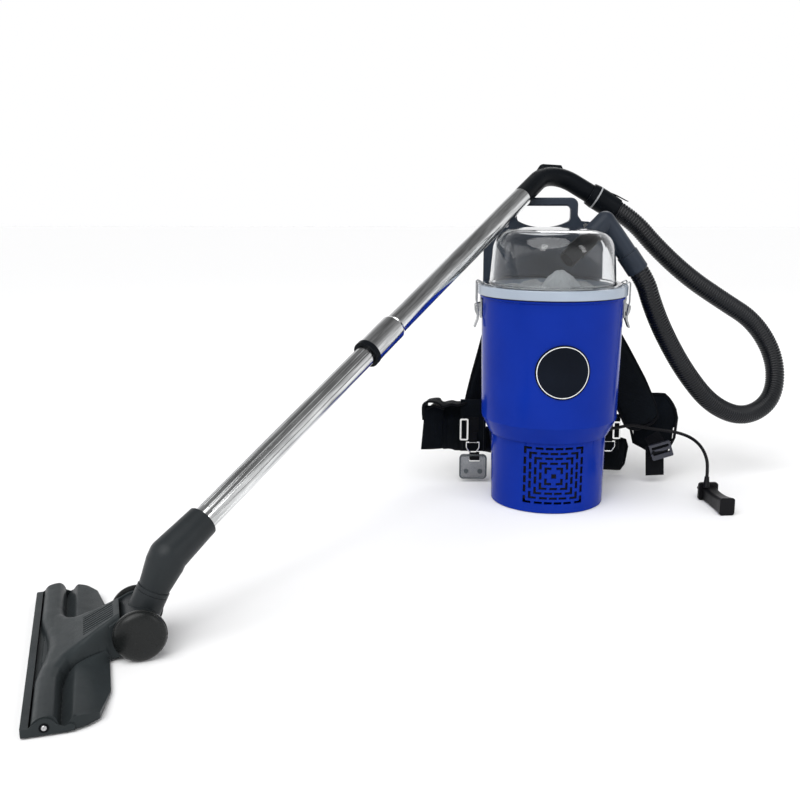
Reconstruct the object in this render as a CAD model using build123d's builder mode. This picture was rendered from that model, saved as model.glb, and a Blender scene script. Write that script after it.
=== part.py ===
"""Backpack vacuum cleaner: a tall canister with a clear lid on a back plate and harness,
a ribbed hose, a telescopic wand and a hinged floor head.

Millimetres. The origin is the centre of the canister's base on the floor, +Z is up,
-Y is the front of the canister, and +X is on the right of someone facing that front."""
import math
import os

from build123d import *

os.makedirs("parts", exist_ok=True)

# ---------------------------------------------------------------- driving dimensions
# canister
wall = 3.0
cover_foot_r, cover_top_r, cover_top_z = 99.0, 101.0, 124.0
waist_r, waist_z = 105.0, 125.0
shoulder_r, shoulder_z = 118.8, 153.0
rim_r, rim_z = 122.0, 366.0
ring_r, ring_z, ring_top_z = 128.7, 368.0, 384.0
dome_foot_r, dome_top_r, dome_top_z, dome_corner = 109.0, 101.2, 478.5, 38.0
deck_z = 128.2
fit = 0.05                      # radial running clearance
gap = 0.4                       # clearance between pieces that only sit near each other
# grille: a centre square and five rings of slots
grille_z, slot_h, slot_w, slot_pitch = 67.0, 4.4, 13.2, 16.6
grille_rings = (13.6, 22.4, 31.0, 39.6, 48.2)
badge_z, badge_r = 250.0, 46.0
# back plate and carry handle
plate_y, plate_t, plate_half, plate_low_z, plate_top_z = 131.0, 6.0, 113.0, 24.0, 486.0
grip_left, grip_right, grip_top_z, grip_bar, grip_y, grip_t = -66.0, 58.0, 529.0, 15.0, 129.0, 14.0
# side latches, measured outwards from the canister's axis
pivot_o, pivot_z, wire_r, wire_half = 130.0, 345.0, 1.25, 16.0
wire_pin_o, wire_pin_z = 127.5, 332.0
# inlet
inlet_r, inlet_wall = 18.0, 2.5
inlet_corner = (95.2, 55.0, 489.0)
nozzle_end = (25.0, 12.0, 424.0)
elbow_seam = (136.3, 60.0, 433.5)
elbow_end = (158.6, 62.0, 402.5)
# hose and lead
hose_r, lead_r = 18.0, 2.9
# wand
tube_r, tube_wall, lower_r = 17.5, 1.1, 16.0
neck_corner = (-528.6, -601.6, 111.4)
wand_end = (-42.5, 108.0, 535.0)
collar_at = 26.0
sleeve_from, sleeve_len, sleeve_r, ring_len = 446.0, 66.0, 20.6, 8.0
nested_len, sleeve_travel = 76.0, 5.0
grip_corner_at, grip_bend_r, grip_sleeve = 104.0, 66.0, 12.0
cuff_end = (137.0, 184.0, 506.0)
# floor head
head_origin, head_x = (-685.0, -658.0, 0.0), (0.948, 0.317, 0.0)
lip_half, head_deep = 182.0, 91.0
axle_x, axle_z, wheel_r, wheel_t, wheel_y = 127.0, 32.0, 32.0, 14.0, 36.0
drum_r, drum_half, lower_neck_r = 26.0, 29.0, 17.0


# ---------------------------------------------------------------- helpers
def in_frame(frame, plane):
    """The plane, given in a frame's own coordinates, as a plane of the model."""
    return Plane(frame.location * plane.location)


def along(start, end):
    """A plane at start whose normal points to end."""
    return Plane(origin=start, z_dir=Vector(*end) - Vector(*start))


def span(start, end):
    return (Vector(*end) - Vector(*start)).length


def rod(plane, radius, length, inner=0.0, mode=Mode.ADD):
    """A cylinder or tube that grows from the plane along its normal."""
    with BuildSketch(plane) as ring:
        Circle(radius)
        if inner:
            Circle(inner, mode=Mode.SUBTRACT)
    extrude(ring.sketch, amount=length, mode=mode)


def cone(plane, r_start, r_end, length, mode=Mode.ADD):
    with BuildSketch(plane) as low:
        Circle(r_start)
    with BuildSketch(plane.offset(length)) as high:
        Circle(r_end)
    loft([low.sketch.face(), high.sketch.face()], mode=mode)


def block(plane, width, height, length, corner=0.0, mode=Mode.ADD):
    """A bar with a rectangular section, its corners rounded, growing from the plane."""
    with BuildSketch(plane) as section:
        if corner:
            RectangleRounded(width, height, corner)
        else:
            Rectangle(width, height)
    extrude(section.sketch, amount=length, mode=mode)


def slab(plane, points, thickness, corner=0.0, mode=Mode.ADD):
    """A polygon grown from the plane, with every corner rounded when a radius is given."""
    with BuildSketch(plane) as outline:
        with BuildLine():
            Polyline(*points, close=True)
        make_face()
        if corner:
            fillet(outline.vertices(), corner)
    extrude(outline.sketch, amount=thickness, mode=mode)


def turned(points, mode=Mode.ADD, corners=()):
    """A solid of revolution about the canister's axis from (radius, height) points."""
    with BuildSketch(Plane.XZ) as profile:
        with BuildLine():
            Polyline(*points, close=True)
        make_face()
        for point, radius in corners:
            spot = Vector(point[0], point[1])
            near = profile.vertices().sort_by_distance(spot)[0]
            fillet(near, radius)
    revolve(profile.sketch, axis=Axis.Z, mode=mode)


def pad(sections, mode=Mode.ADD):
    """A soft bar lofted through (plane, width, thickness) sections."""
    faces = []
    for plane, width, thick in sections:
        with BuildSketch(plane) as section:
            RectangleRounded(width, thick, thick * 0.45)
        faces.append(section.sketch.face())
    loft(faces, ruled=True, mode=mode)


def corner_radii(points):
    """The largest arc that fits at each corner of a cord's route."""
    places = [Vector(*p) for p in points]
    radii = []
    for before, here, after in zip(places, places[1:], places[2:]):
        half_turn = math.radians((here - before).get_angle(after - here) / 2)
        run = min((here - before).length, (after - here).length)
        radii.append(0.45 * run / math.tan(half_turn))
    return radii


# ================================================================ CANISTER
# ---- upper shell: a round bucket with a tapered waist, an inner floor and a rolled rim
with BuildPart() as canister_shell:
    turned([(88, waist_z), (waist_r, waist_z), (shoulder_r, shoulder_z), (rim_r, rim_z - 4),
            (rim_r + 3, rim_z - 3), (rim_r + 3, rim_z), (rim_r - wall, rim_z),
            (shoulder_r - wall, shoulder_z + 1), (waist_r - wall, waist_z + 3), (88, waist_z + 3)])
    with Locations(Plane.XY.offset(waist_z)):
        with PolarLocations(94.0, 4, start_angle=45):
            Hole(2.2, depth=8)
canister_shell.part.label = "canister_shell"
export_step(canister_shell.part, "parts/canister_shell.step")

# ---- motor cover: the lower housing, with a square slot pattern at the front
with BuildPart() as motor_cover:
    turned([(cover_foot_r - wall, 0.8), (cover_foot_r, 0.8), (cover_top_r, cover_top_z),
            (86, cover_top_z), (86, cover_top_z - wall), (cover_top_r - wall, cover_top_z - wall)])
    for angle in (30, 150, 210, 330):
        boss_plane = Plane(origin=(90.5 * math.cos(math.radians(angle)),
                                   90.5 * math.sin(math.radians(angle)), 4.4))
        rod(boss_plane, 6.2, 16, inner=1.7)
    with Locations(Plane.XY.offset(cover_top_z - wall)):
        with PolarLocations(94.0, 4, start_angle=45):
            Hole(2.2, depth=8)
    with BuildSketch(Plane.XZ.offset(110)) as slots:
        with Locations((0, grille_z)):
            Rectangle(8.4, 8.4)
            for index, half in enumerate(grille_rings):
                for turn in range(4):
                    angle = 90 * turn
                    across = Vector(1, 0).rotate(Axis.Z, angle)
                    outward = Vector(0, 1).rotate(Axis.Z, angle)
                    for step in range(index):
                        shift = (step - (index - 1) / 2) * slot_pitch
                        with Locations(outward * half + across * shift):
                            Rectangle(slot_w, slot_h, rotation=angle)
                    arm = half - (index * slot_pitch - 3.4) / 2 if index else half - 1.7
                    arm = min(arm, slot_w)
                    with Locations(outward * half + across * (half + slot_h / 2 - arm / 2)):
                        Rectangle(arm, slot_h, rotation=angle)
                    with Locations(across * half + outward * (half + slot_h / 2 - arm / 2)):
                        Rectangle(slot_h, arm, rotation=angle)
    extrude(slots.sketch, amount=-60, mode=Mode.SUBTRACT)
    for angle in (-118, -47):
        crease = Plane(origin=(0, 0, 0), x_dir=(-math.sin(math.radians(angle)),
                       math.cos(math.radians(angle)), 0), z_dir=(0, 0, 1))
        with Locations(crease):
            with Locations((0, -cover_top_r - 0.6, 60)):
                Cylinder(1.6, 140, mode=Mode.SUBTRACT)
motor_cover.part.label = "motor_cover"
export_step(motor_cover.part, "parts/motor_cover.step")

# ---- base plate that closes the motor cover and stands on the floor
with BuildPart() as base_plate:
    rod(Plane.XY, cover_foot_r - wall - gap, 4)
    for angle in (30, 150, 210, 330):
        with Locations((90.5 * math.cos(math.radians(angle)), 90.5 * math.sin(math.radians(angle)), 0)):
            Cylinder(4.2, 6, mode=Mode.SUBTRACT)
            Cylinder(2.2, 12, mode=Mode.SUBTRACT)
    with BuildSketch(Plane.XY.offset(4)) as foot_slots:
        with PolarLocations(58, 12):
            SlotOverall(26, 4)
    extrude(foot_slots.sketch, amount=-8, mode=Mode.SUBTRACT)
base_plate.part.label = "base_plate"
export_step(base_plate.part, "parts/base_plate.step")

# ---- screws: four under the base, four through the waist flange
with BuildPart() as housing_screws:
    for angle in (30, 150, 210, 330):
        spot = (90.5 * math.cos(math.radians(angle)), 90.5 * math.sin(math.radians(angle)), 0.6)
        rod(Plane(origin=spot), 3.8, 2.4)
        rod(Plane(origin=spot).offset(2.4), 1.65, 14)
    for turn in range(4):
        angle = math.radians(45 + 90 * turn)
        spot = (94 * math.cos(angle), 94 * math.sin(angle), cover_top_z - wall - 2.6)
        rod(Plane(origin=spot), 3.8, 2.6)
        rod(Plane(origin=spot).offset(2.6), 2.0, 9.6)
housing_screws.part.label = "housing_screws"
export_step(housing_screws.part, "parts/housing_screws.step")

# ---- round badge and its raised ring on the front of the shell
badge_plane = Plane(origin=(0, 0, badge_z), x_dir=(1, 0, 0), z_dir=(0, -1, 0))


def on_shell(inner_r, outer_r, low, high):
    """A disc or ring on the front that follows the round shell between two offsets."""
    with BuildPart(mode=Mode.PRIVATE) as plaque:
        with BuildSketch(badge_plane.offset(100)) as outline:
            Circle(outer_r)
            if inner_r:
                Circle(inner_r, mode=Mode.SUBTRACT)
        extrude(outline.sketch, amount=40)
        for offset_by, keep in ((high, Mode.INTERSECT), (low, Mode.SUBTRACT)):
            turned([(0, 100), (shoulder_r - 0.8 + offset_by, 100), (shoulder_r + offset_by, shoulder_z),
                    (rim_r + offset_by, rim_z), (0, rim_z)], mode=keep)
    return plaque.part


with BuildPart() as badge:
    add(on_shell(0, badge_r - 3.2, 0.1, 1.6))
    add(on_shell(badge_r - 3.1, badge_r, 0.1, 2.4))
badge.part.label = "badge"
export_step(badge.part, "parts/badge.step")

# ---- dark seal between the shell and the lid, then the white clamping ring
with BuildPart() as lid_seal:
    rod(Plane.XY.offset(rim_z), rim_r + 1.5, ring_z - rim_z, inner=108)
lid_seal.part.label = "lid_seal"
export_step(lid_seal.part, "parts/lid_seal.step")

with BuildPart() as lid_ring:
    turned([(109, ring_z), (ring_r, ring_z), (ring_r, ring_top_z), (109, ring_top_z)],
           corners=[((ring_r, ring_top_z), 1.6), ((ring_r, ring_z), 1.2)])
lid_ring.part.label = "lid_ring"
export_step(lid_ring.part, "parts/lid_ring.step")


def dome_body(grow, mode):
    """The lid's outside, grown by an amount."""
    turned([(0, ring_top_z), (118 + grow, ring_top_z), (118 + grow, ring_top_z + 3 + grow),
            (dome_foot_r + grow, ring_top_z + 3 + grow), (dome_top_r + grow, dome_top_z + grow),
            (0, dome_top_z + 1 + grow)], mode=mode,
           corners=[((dome_top_r + grow, dome_top_z + grow), dome_corner),
                    ((dome_foot_r + grow, ring_top_z + 3 + grow), 3)])


# ---- clear lid: a rounded box of revolution with a port in its upper corner
port_axis = along(inlet_corner, nozzle_end)
with BuildPart() as lid_dome:
    dome_body(0, Mode.ADD)
    turned([(0, ring_top_z), (dome_foot_r - wall, ring_top_z),
            (dome_top_r - wall, dome_top_z - wall), (0, dome_top_z + 1 - wall)], mode=Mode.SUBTRACT,
           corners=[((dome_top_r - wall, dome_top_z - wall), dome_corner - wall)])
    rod(port_axis, inlet_r + fit, 62, mode=Mode.SUBTRACT)
lid_dome.part.label = "lid_dome"
export_step(lid_dome.part, "parts/lid_dome.step")

# ---- stepped nozzle inside the lid that blows into the filter bag
nozzle_len = span(inlet_corner, nozzle_end)
with BuildPart() as inlet_nozzle:
    rod(port_axis.offset(6), inlet_r - inlet_wall, 56)
    rod(port_axis.offset(46), inlet_r - 0.4, nozzle_len - 46 - 24)
    rod(port_axis.offset(nozzle_len - 24), inlet_r - 2.4, 24)
    rod(port_axis, inlet_r - inlet_wall - 2.2, nozzle_len + 10, mode=Mode.SUBTRACT)
inlet_nozzle.part.label = "inlet_nozzle"
export_step(inlet_nozzle.part, "parts/inlet_nozzle.step")

# ---- elbow outside the lid, cut to the lid's curve
elbow_axis = along(inlet_corner, elbow_seam)
elbow_len = span(inlet_corner, elbow_seam)
with BuildPart() as inlet_elbow:
    rod(port_axis, inlet_r, 40)
    with Locations(inlet_corner):
        Sphere(inlet_r)
    rod(elbow_axis, inlet_r, elbow_len)
    rod(port_axis, inlet_r - inlet_wall + fit, 45, mode=Mode.SUBTRACT)
    with Locations(inlet_corner):
        Sphere(inlet_r - inlet_wall + fit, mode=Mode.SUBTRACT)
    rod(elbow_axis, inlet_r - inlet_wall + fit, elbow_len, mode=Mode.SUBTRACT)
    dome_body(0.15, Mode.SUBTRACT)
inlet_elbow.part.label = "inlet_elbow"
export_step(inlet_elbow.part, "parts/inlet_elbow.step")

# ---- swivel cuff on the end of the elbow
seam_axis = along(elbow_seam, elbow_end)
cuff_len = span(elbow_seam, elbow_end)
with BuildPart() as elbow_cuff:
    rod(seam_axis.offset(1.0), inlet_r + 1.6, cuff_len - 1.0, inner=inlet_r - 3.5)
    chamfer(elbow_cuff.edges().filter_by(GeomType.CIRCLE).sort_by(SortBy.RADIUS)[-2:], 1.0)
elbow_cuff.part.label = "elbow_cuff"
export_step(elbow_cuff.part, "parts/elbow_cuff.step")

# ---- cloth filter bag, open at the top, with its stiff hoop
with BuildPart() as filter_bag:
    rod(Plane.XY.offset(rim_z - 5.5), 118.2, 5, inner=104)
    turned([(0, 150), (96, 150), (103, 170), (106, rim_z - 6), (101, ring_top_z), (90, 392),
            (34, 406), (34, 403.4), (88.8, 389.5), (98.6, 382.4), (103.4, rim_z - 6),
            (100.5, 170.6), (94.6, 152.6), (0, 152.6)])
filter_bag.part.label = "filter_bag"
export_step(filter_bag.part, "parts/filter_bag.step")

# ---- deck between the bag chamber and the motor chamber
with BuildPart() as motor_deck:
    rod(Plane.XY.offset(deck_z), 101.5, 4, inner=22)
    with BuildSketch(Plane.XY.offset(deck_z + 4)) as bars:
        for angle in (0, 45, 90, 135):
            Rectangle(60, 3, rotation=angle)
    extrude(bars.sketch, amount=3)
    with Locations(Plane.XY.offset(deck_z)):
        with PolarLocations(94.0, 4, start_angle=45):
            Hole(2.05, depth=4)
motor_deck.part.label = "motor_deck"
export_step(motor_deck.part, "parts/motor_deck.step")

# ---- motor and fan
with BuildPart() as motor_mounts:
    rod(Plane.XY.offset(116.2), 66, deck_z - 116.2 - 0.1, inner=30)
    rod(Plane.XY.offset(4.1), 48, 9.8, inner=38)
motor_mounts.part.label = "motor_mounts"
export_step(motor_mounts.part, "parts/motor_mounts.step")

with BuildPart() as fan_housing:
    rod(Plane.XY.offset(66), 72, 50)
    rod(Plane.XY.offset(68), 70, 46, mode=Mode.SUBTRACT)
    rod(Plane.XY.offset(113), 20, 4, mode=Mode.SUBTRACT)
    rod(Plane.XY.offset(65), 5 + fit, 5, mode=Mode.SUBTRACT)
    with Locations(Plane.XY.offset(90)):
        with PolarLocations(71, 10):
            Box(10, 16, 12, mode=Mode.SUBTRACT)
fan_housing.part.label = "fan_housing"
export_step(fan_housing.part, "parts/fan_housing.step")

with BuildPart() as motor_can:
    rod(Plane.XY.offset(14), 46, 51.6)
    rod(Plane.XY.offset(17), 43, 45.6, mode=Mode.SUBTRACT)
    rod(Plane.XY.offset(13), 5 + fit, 60, mode=Mode.SUBTRACT)
    rod(Plane.XY.offset(24), 43, 30, inner=32)
    with Locations(Plane.XY.offset(14)):
        with PolarLocations(34, 8):
            Hole(5, depth=4)
motor_can.part.label = "motor_can"
export_step(motor_can.part, "parts/motor_can.step")

with BuildPart() as fan_rotor:
    rod(Plane.XY.offset(15), 5, 94)
    rod(Plane.XY.offset(26), 28, 26)
    rod(Plane.XY.offset(88), 64, 2)
    for turn in range(9):
        blade = Plane.XY.offset(90) * Location((0, 0, 0), (0, 0, 40 * turn))
        with BuildSketch(blade) as blade_outline:
            with Locations((34, 6)):
                Rectangle(54, 1.6, rotation=16)
        extrude(blade_outline.sketch, amount=12)
    rod(Plane.XY.offset(102), 64, 2, inner=19)
    rod(Plane.XY.offset(90), 9, 14)
fan_rotor.part.label = "fan_rotor"
export_step(fan_rotor.part, "parts/fan_rotor.step")

with BuildPart() as exhaust_foam:
    rod(Plane.XY.offset(21.5), 94.5, 92, inner=86)
    with Locations((0, 60, 60)):
        Box(240, 220, 130, mode=Mode.SUBTRACT)
exhaust_foam.part.label = "exhaust_foam"
export_step(exhaust_foam.part, "parts/exhaust_foam.step")

# ---- rocker switch low on the rear left of the motor cover, and the lead's strain relief
switch_plane = Plane(origin=(0, 0, 66), x_dir=(0, 0, 1), z_dir=(-0.70, 0.714, 0))
gland_plane = Plane(origin=(0, 0, 113.5), z_dir=(0.906, 0.423, 0))
with BuildPart() as switch_bezel:
    block(switch_plane.offset(97.5), 36, 20, 6.5, corner=3)
    block(switch_plane.offset(96), 27.6, 13.6, 12, mode=Mode.SUBTRACT)
    turned([(0, 0.8), (cover_foot_r + 0.1, 0.8), (cover_top_r + 0.1, cover_top_z), (0, cover_top_z)],
           mode=Mode.SUBTRACT)
switch_bezel.part.label = "switch_bezel"
export_step(switch_bezel.part, "parts/switch_bezel.step")

rocker_pin = switch_plane.offset(103.4)
rocker_lean = math.radians(8)          # it rests switched off, its upper end out
with BuildPart() as switch_rocker:
    slab(in_frame(rocker_pin, Plane(origin=(0, -6.5, 0), z_dir=(0, 1, 0),
                                    x_dir=(math.cos(rocker_lean), 0, math.sin(rocker_lean)))),
         [(-12.6, 0.6), (-12.6, -3.8), (-4, -1.6), (4, -1.6), (12.6, -3.8), (12.6, 0.6),
          (0, 1.1)], 13)
switch_rocker.part.label = "switch_rocker"
export_step(switch_rocker.part, "parts/switch_rocker.step")

gland_from, gland_len = 101.2, 34.0
with BuildPart() as cable_gland:
    rod(gland_plane.offset(gland_from), 8.5, 4)
    cone(gland_plane.offset(gland_from + 4), 6.5, 4.4, gland_len - 4)
cable_gland.part.label = "cable_gland"
export_step(cable_gland.part, "parts/cable_gland.step")
lead_exit = gland_plane.origin + gland_plane.z_dir * (gland_from + gland_len)

# ================================================================ SIDE LATCHES
hook_o, hook_z, wire_top_z, leg_o = 121.5, 385.7, 390.5, 131.0
sides = {"left": -1, "right": 1}


def latch_section(side):
    """A plane across a latch: outward along X, up along Y."""
    return Plane(origin=(0, 0, 0), x_dir=(side, 0, 0), z_dir=(0, -side, 0))


with BuildPart() as latch_bases:
    for side in sides.values():
        block(Plane(origin=(side * 122.3, 0, 343.5), x_dir=(0, 1, 0), z_dir=(side, 0, 0)), 27, 34, 2.2, 2)
        for ear in (-13.5, 10.0):
            slab(in_frame(latch_section(side), Plane.XY.offset(ear)),
                 [(124, 338), (130, 339.5), (134, 342), (134, 348), (130, 350.5), (124, 352)], 3.5)
        rod(Plane(origin=(side * pivot_o, -15, pivot_z), z_dir=(0, 1, 0)), 1.5 + 0.02, 30,
            mode=Mode.SUBTRACT)
latch_bases.part.label = "latch_bases"
export_step(latch_bases.part, "parts/latch_bases.step")

with BuildPart() as latch_pins:
    for side in sides.values():
        rod(Plane(origin=(side * pivot_o, -13.6, pivot_z), z_dir=(0, 1, 0)), 1.5, 27.2)
latch_pins.part.label = "latch_pins"
export_step(latch_pins.part, "parts/latch_pins.step")

lever_outline = [(126.6, 347.5), (126.0, 342), (126.0, 328), (127.4, 322), (132.6, 309), (135.2, 310),
                 (130.6, 323), (130.2, 330), (133.8, 337), (134.6, 345), (132.6, 348.6), (129, 349.4)]
wire_side = [(wire_pin_o, wire_pin_z, 8.0), (wire_pin_o, wire_pin_z, wire_half),
             (leg_o, 356, wire_half), (leg_o, wire_top_z, wire_half), (hook_o, hook_z, wire_half)]
wire_route = wire_side + [(o, h, -y) for o, h, y in reversed(wire_side)]
for hand, side in sides.items():
    section = latch_section(side)
    with BuildPart() as latch_lever:
        slab(in_frame(section, Plane.XY.offset(-9.5)), lever_outline, 19)
        for (o, h), radius in (((pivot_o, pivot_z), 1.5), ((wire_pin_o, wire_pin_z), wire_r)):
            rod(in_frame(section, Plane(origin=(o, h, -12))), radius + fit, 24, mode=Mode.SUBTRACT)
    latch_lever.part.label = f"latch_lever_{hand}"
    export_step(latch_lever.part, f"parts/latch_lever_{hand}.step")

    wire_places = [section.from_local_coords(Vector(*place)) for place in wire_route]
    with BuildPart() as latch_wire:
        with BuildLine() as wire_line:
            FilletPolyline(*wire_places, radius=2.6)
        with BuildSketch(Plane(origin=wire_line.line @ 0, z_dir=wire_line.line % 0)):
            Circle(wire_r)
        sweep()
    latch_wire.part.label = f"latch_wire_{hand}"
    export_step(latch_wire.part, f"parts/latch_wire_{hand}.step")

# ================================================================ BACK PLATE
upright = Plane(origin=(0, plate_y + plate_t, 0), x_dir=(1, 0, 0), z_dir=(0, -1, 0))
grip_plane = Plane(origin=(0, grip_y + grip_t, 0), x_dir=(1, 0, 0), z_dir=(0, -1, 0))
with BuildPart() as back_plate:
    with BuildSketch(upright) as plate_outline:
        with BuildLine():
            Polyline((-88, plate_low_z), (88, plate_low_z), (plate_half - 6, 180),
                     (plate_half, 330), (plate_half, 452), (84, plate_top_z), (-84, plate_top_z),
                     (-plate_half, 452), (-plate_half, 330), (-plate_half + 6, 180), close=True)
        make_face()
        fillet(plate_outline.vertices(), 20)
    extrude(plate_outline.sketch, amount=plate_t)
    with BuildSketch(grip_plane) as grip_outline:
        with BuildLine():
            Polyline((-96, 462), (-94, 484), (grip_left - 7, 487), (grip_left, 497),
                     (grip_left, grip_top_z), (grip_right, grip_top_z), (grip_right, 497),
                     (grip_right + 7, 487), (87, 484), (90, 462), close=True)
        make_face()
        fillet(grip_outline.vertices().group_by(Axis.Y)[-1], 13)
        fillet(grip_outline.vertices().group_by(Axis.Y)[-3], 8)
    extrude(grip_outline.sketch, amount=grip_t)
    hold_left, hold_right = grip_left + 13, grip_right - 13
    with BuildSketch(grip_plane.offset(-20)) as hold:
        with BuildLine():
            low_left, low_right = (hold_left, 488), (hold_right, 488)
            Polyline(low_left, (hold_left, grip_top_z - grip_bar),
                     (hold_right, grip_top_z - grip_bar), low_right)
            ThreePointArc(low_right, ((hold_left + hold_right) / 2, 475), low_left)
        make_face()
        fillet(hold.vertices(), 8)
    extrude(hold.sketch, amount=60, mode=Mode.SUBTRACT)
    for z, drop, start, length in ((grip_top_z, 1, grip_left - 4, grip_right - grip_left + 8),
                                   (grip_top_z - grip_bar, -1, hold_left + 6, hold_right - hold_left - 12)):
        for y, deep in ((grip_y, 1), (grip_y + grip_t, -1)):
            slab(Plane(origin=(start, 0, 0), x_dir=(0, 1, 0), z_dir=(1, 0, 0)),
                 [(y - deep, z + drop), (y + 4 * deep, z + drop), (y - deep, z - 4 * drop)], length,
                 mode=Mode.SUBTRACT)
    for x in (-72.6, 72.6):
        rod(Plane(origin=(x, plate_y - 4, 479), x_dir=(1, 0, 0), z_dir=(0, 1, 0)), 2.0, 20,
            mode=Mode.SUBTRACT)
    for x in (-28, 28):
        for z in (56, 84, 302, 330):
            rod(Plane(origin=(x, plate_y - 4, z), x_dir=(1, 0, 0), z_dir=(0, 1, 0)), 2.1, 14,
                mode=Mode.SUBTRACT)
    for x in (-70, 70):
        block(Plane(origin=(x, plate_y + 1, 235), x_dir=(1, 0, 0), z_dir=(0, -1, 0)), 8, 300, 6, 2)
back_plate.part.label = "back_plate"
export_step(back_plate.part, "parts/back_plate.step")

# ---- saddles that join the canister to the plate
screw_x = 28.0
saddle_rows = {"lower": ((56, 84), cover_top_r + 0.1), "upper": ((302, 330), rim_r + 0.1)}
with BuildPart() as plate_saddles:
    for rows, inner_r in saddle_rows.values():
        middle = sum(rows) / 2
        block(Plane(origin=(0, plate_y - 0.1, middle), x_dir=(1, 0, 0), z_dir=(0, -1, 0)), 84, 52, 50, 4)
        turned([(0, middle - 34), (inner_r, middle - 34), (inner_r, middle + 34), (0, middle + 34)],
               mode=Mode.SUBTRACT)
        for x in (-screw_x, screw_x):
            for z in rows:
                rod(Plane(origin=(x, plate_y + 1, z), x_dir=(1, 0, 0), z_dir=(0, -1, 0)), 1.7, 14,
                    mode=Mode.SUBTRACT)
plate_saddles.part.label = "plate_saddles"
export_step(plate_saddles.part, "parts/plate_saddles.step")

with BuildPart() as plate_screws:
    for x in (-28, 28):
        for z in (56, 84, 302, 330):
            head = Plane(origin=(x, plate_y + plate_t + 2.6, z), x_dir=(1, 0, 0), z_dir=(0, -1, 0))
            rod(head, 4.2, 2.5)
            rod(head.offset(2.5), 1.65, 16)
    for x in (-72.6, 72.6):
        head = Plane(origin=(x, grip_y - 2.2, 479), x_dir=(1, 0, 0), z_dir=(0, 1, 0))
        rod(head, 4.2, 2.1)
        rod(head.offset(2.1), 1.9, 14)
plate_screws.part.label = "plate_screws"
export_step(plate_screws.part, "parts/plate_screws.step")

# ================================================================ WAND
wand_dir = (Vector(*wand_end) - Vector(*neck_corner)).normalized()
wand_len = span(neck_corner, wand_end)
WAND = Plane(origin=neck_corner, x_dir=wand_dir.cross(Vector(0, 0, 1)).cross(wand_dir), z_dir=wand_dir)


def at(distance):
    """A plane across the wand, a distance up from the neck's corner."""
    return in_frame(WAND, Plane.XY.offset(distance))


grip_foot = wand_len - grip_sleeve
grip_corner = Vector(*neck_corner) + wand_dir * (wand_len + grip_corner_at)
grip_out = (Vector(*cuff_end) - grip_corner).normalized()
bend_half = math.radians(wand_dir.get_angle(grip_out) / 2)
bend_up = (wand_dir - grip_out).normalized()
bend_along = (wand_dir + grip_out).normalized()
bend_mid = grip_corner - bend_up * (grip_bend_r / math.cos(bend_half) - grip_bend_r)
cuff_from = Vector(*cuff_end) - grip_out * 58.0
slide_plane = Plane(origin=bend_mid + bend_up * (tube_r + 2.6), x_dir=bend_along, z_dir=bend_up)

with BuildPart() as handle_tube:
    with BuildLine() as grip_line:
        FilletPolyline(at(grip_foot).origin, grip_corner, cuff_from + grip_out * 24, radius=grip_bend_r)
    with BuildSketch(at(grip_foot)):
        Circle(tube_r)
    sweep()
    block(slide_plane.offset(-9), 50, 21, 9, corner=6)
    rod(at(grip_foot - 36), tube_r - tube_wall - fit, 36.5)
    with BuildLine() as bore_line:
        FilletPolyline(at(grip_foot).origin, grip_corner, cuff_from + grip_out * 24, radius=grip_bend_r)
    with BuildSketch(at(grip_foot)):
        Circle(tube_r - 3.2)
    sweep(mode=Mode.SUBTRACT)
    rod(at(grip_foot - 37), tube_r - 3.2, 40, mode=Mode.SUBTRACT)
    block(slide_plane.offset(-2.4), 42, 14.2, 6, mode=Mode.SUBTRACT)
    block(slide_plane.offset(-12), 12, 7, 14, mode=Mode.SUBTRACT)
handle_tube.part.label = "handle_tube"
export_step(handle_tube.part, "parts/handle_tube.step")

with BuildPart() as air_slider:
    block(slide_plane.offset(-2.3), 26, 13.6, 4.6, corner=2)
    for step in range(-2, 3):
        block(Plane(origin=slide_plane.from_local_coords(Vector(step * 4.2, 0, 2.2)),
                    x_dir=bend_along, z_dir=bend_up), 1.6, 12, 1.3)
air_slider.part.label = "air_slider"
export_step(air_slider.part, "parts/air_slider.step")

# ---- hose cuff that swivels on the end of the handle, with its light ring
cuff_axis = Plane(origin=cuff_from, z_dir=grip_out)
with BuildPart() as hose_cuff:
    cone(cuff_axis, 20.8, 22.0, 10)
    rod(cuff_axis.offset(10), 22.0, 20)
    cone(cuff_axis.offset(30), 22.0, 20.2, 28)
    rod(cuff_axis.offset(12.5), 26, 3, inner=21.2, mode=Mode.SUBTRACT)
    rod(cuff_axis, tube_r + fit, 26, mode=Mode.SUBTRACT)
    rod(cuff_axis, 15, 60, mode=Mode.SUBTRACT)
hose_cuff.part.label = "hose_cuff"
export_step(hose_cuff.part, "parts/hose_cuff.step")

with BuildPart() as cuff_ring:
    rod(cuff_axis.offset(12.6), 22.4, 2.8, inner=21.25)
cuff_ring.part.label = "cuff_ring"
export_step(cuff_ring.part, "parts/cuff_ring.step")

# ---- telescopic tubes, the sliding lock sleeve and its plastic ring
ring_from = sleeve_from - ring_len
with BuildPart() as upper_tube:
    tube_from = ring_from + 2.6 + sleeve_travel
    rod(at(tube_from), tube_r, grip_foot - tube_from, inner=tube_r - tube_wall)
upper_tube.part.label = "upper_tube"
export_step(upper_tube.part, "parts/upper_tube.step")

with BuildPart() as lower_tube:
    rod(at(30), lower_r, ring_from + nested_len - 30)
    for turn in range(14):
        angle = math.radians(360 / 14 * turn)
        groove = in_frame(WAND, Plane(origin=((lower_r + 0.9) * math.cos(angle),
                                              (lower_r + 0.9) * math.sin(angle), collar_at + 50)))
        rod(groove, 1.5, ring_from + nested_len, mode=Mode.SUBTRACT)
    rod(at(29), lower_r - 1.9, ring_from + nested_len, mode=Mode.SUBTRACT)
lower_tube.part.label = "lower_tube"
export_step(lower_tube.part, "parts/lower_tube.step")

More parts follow.
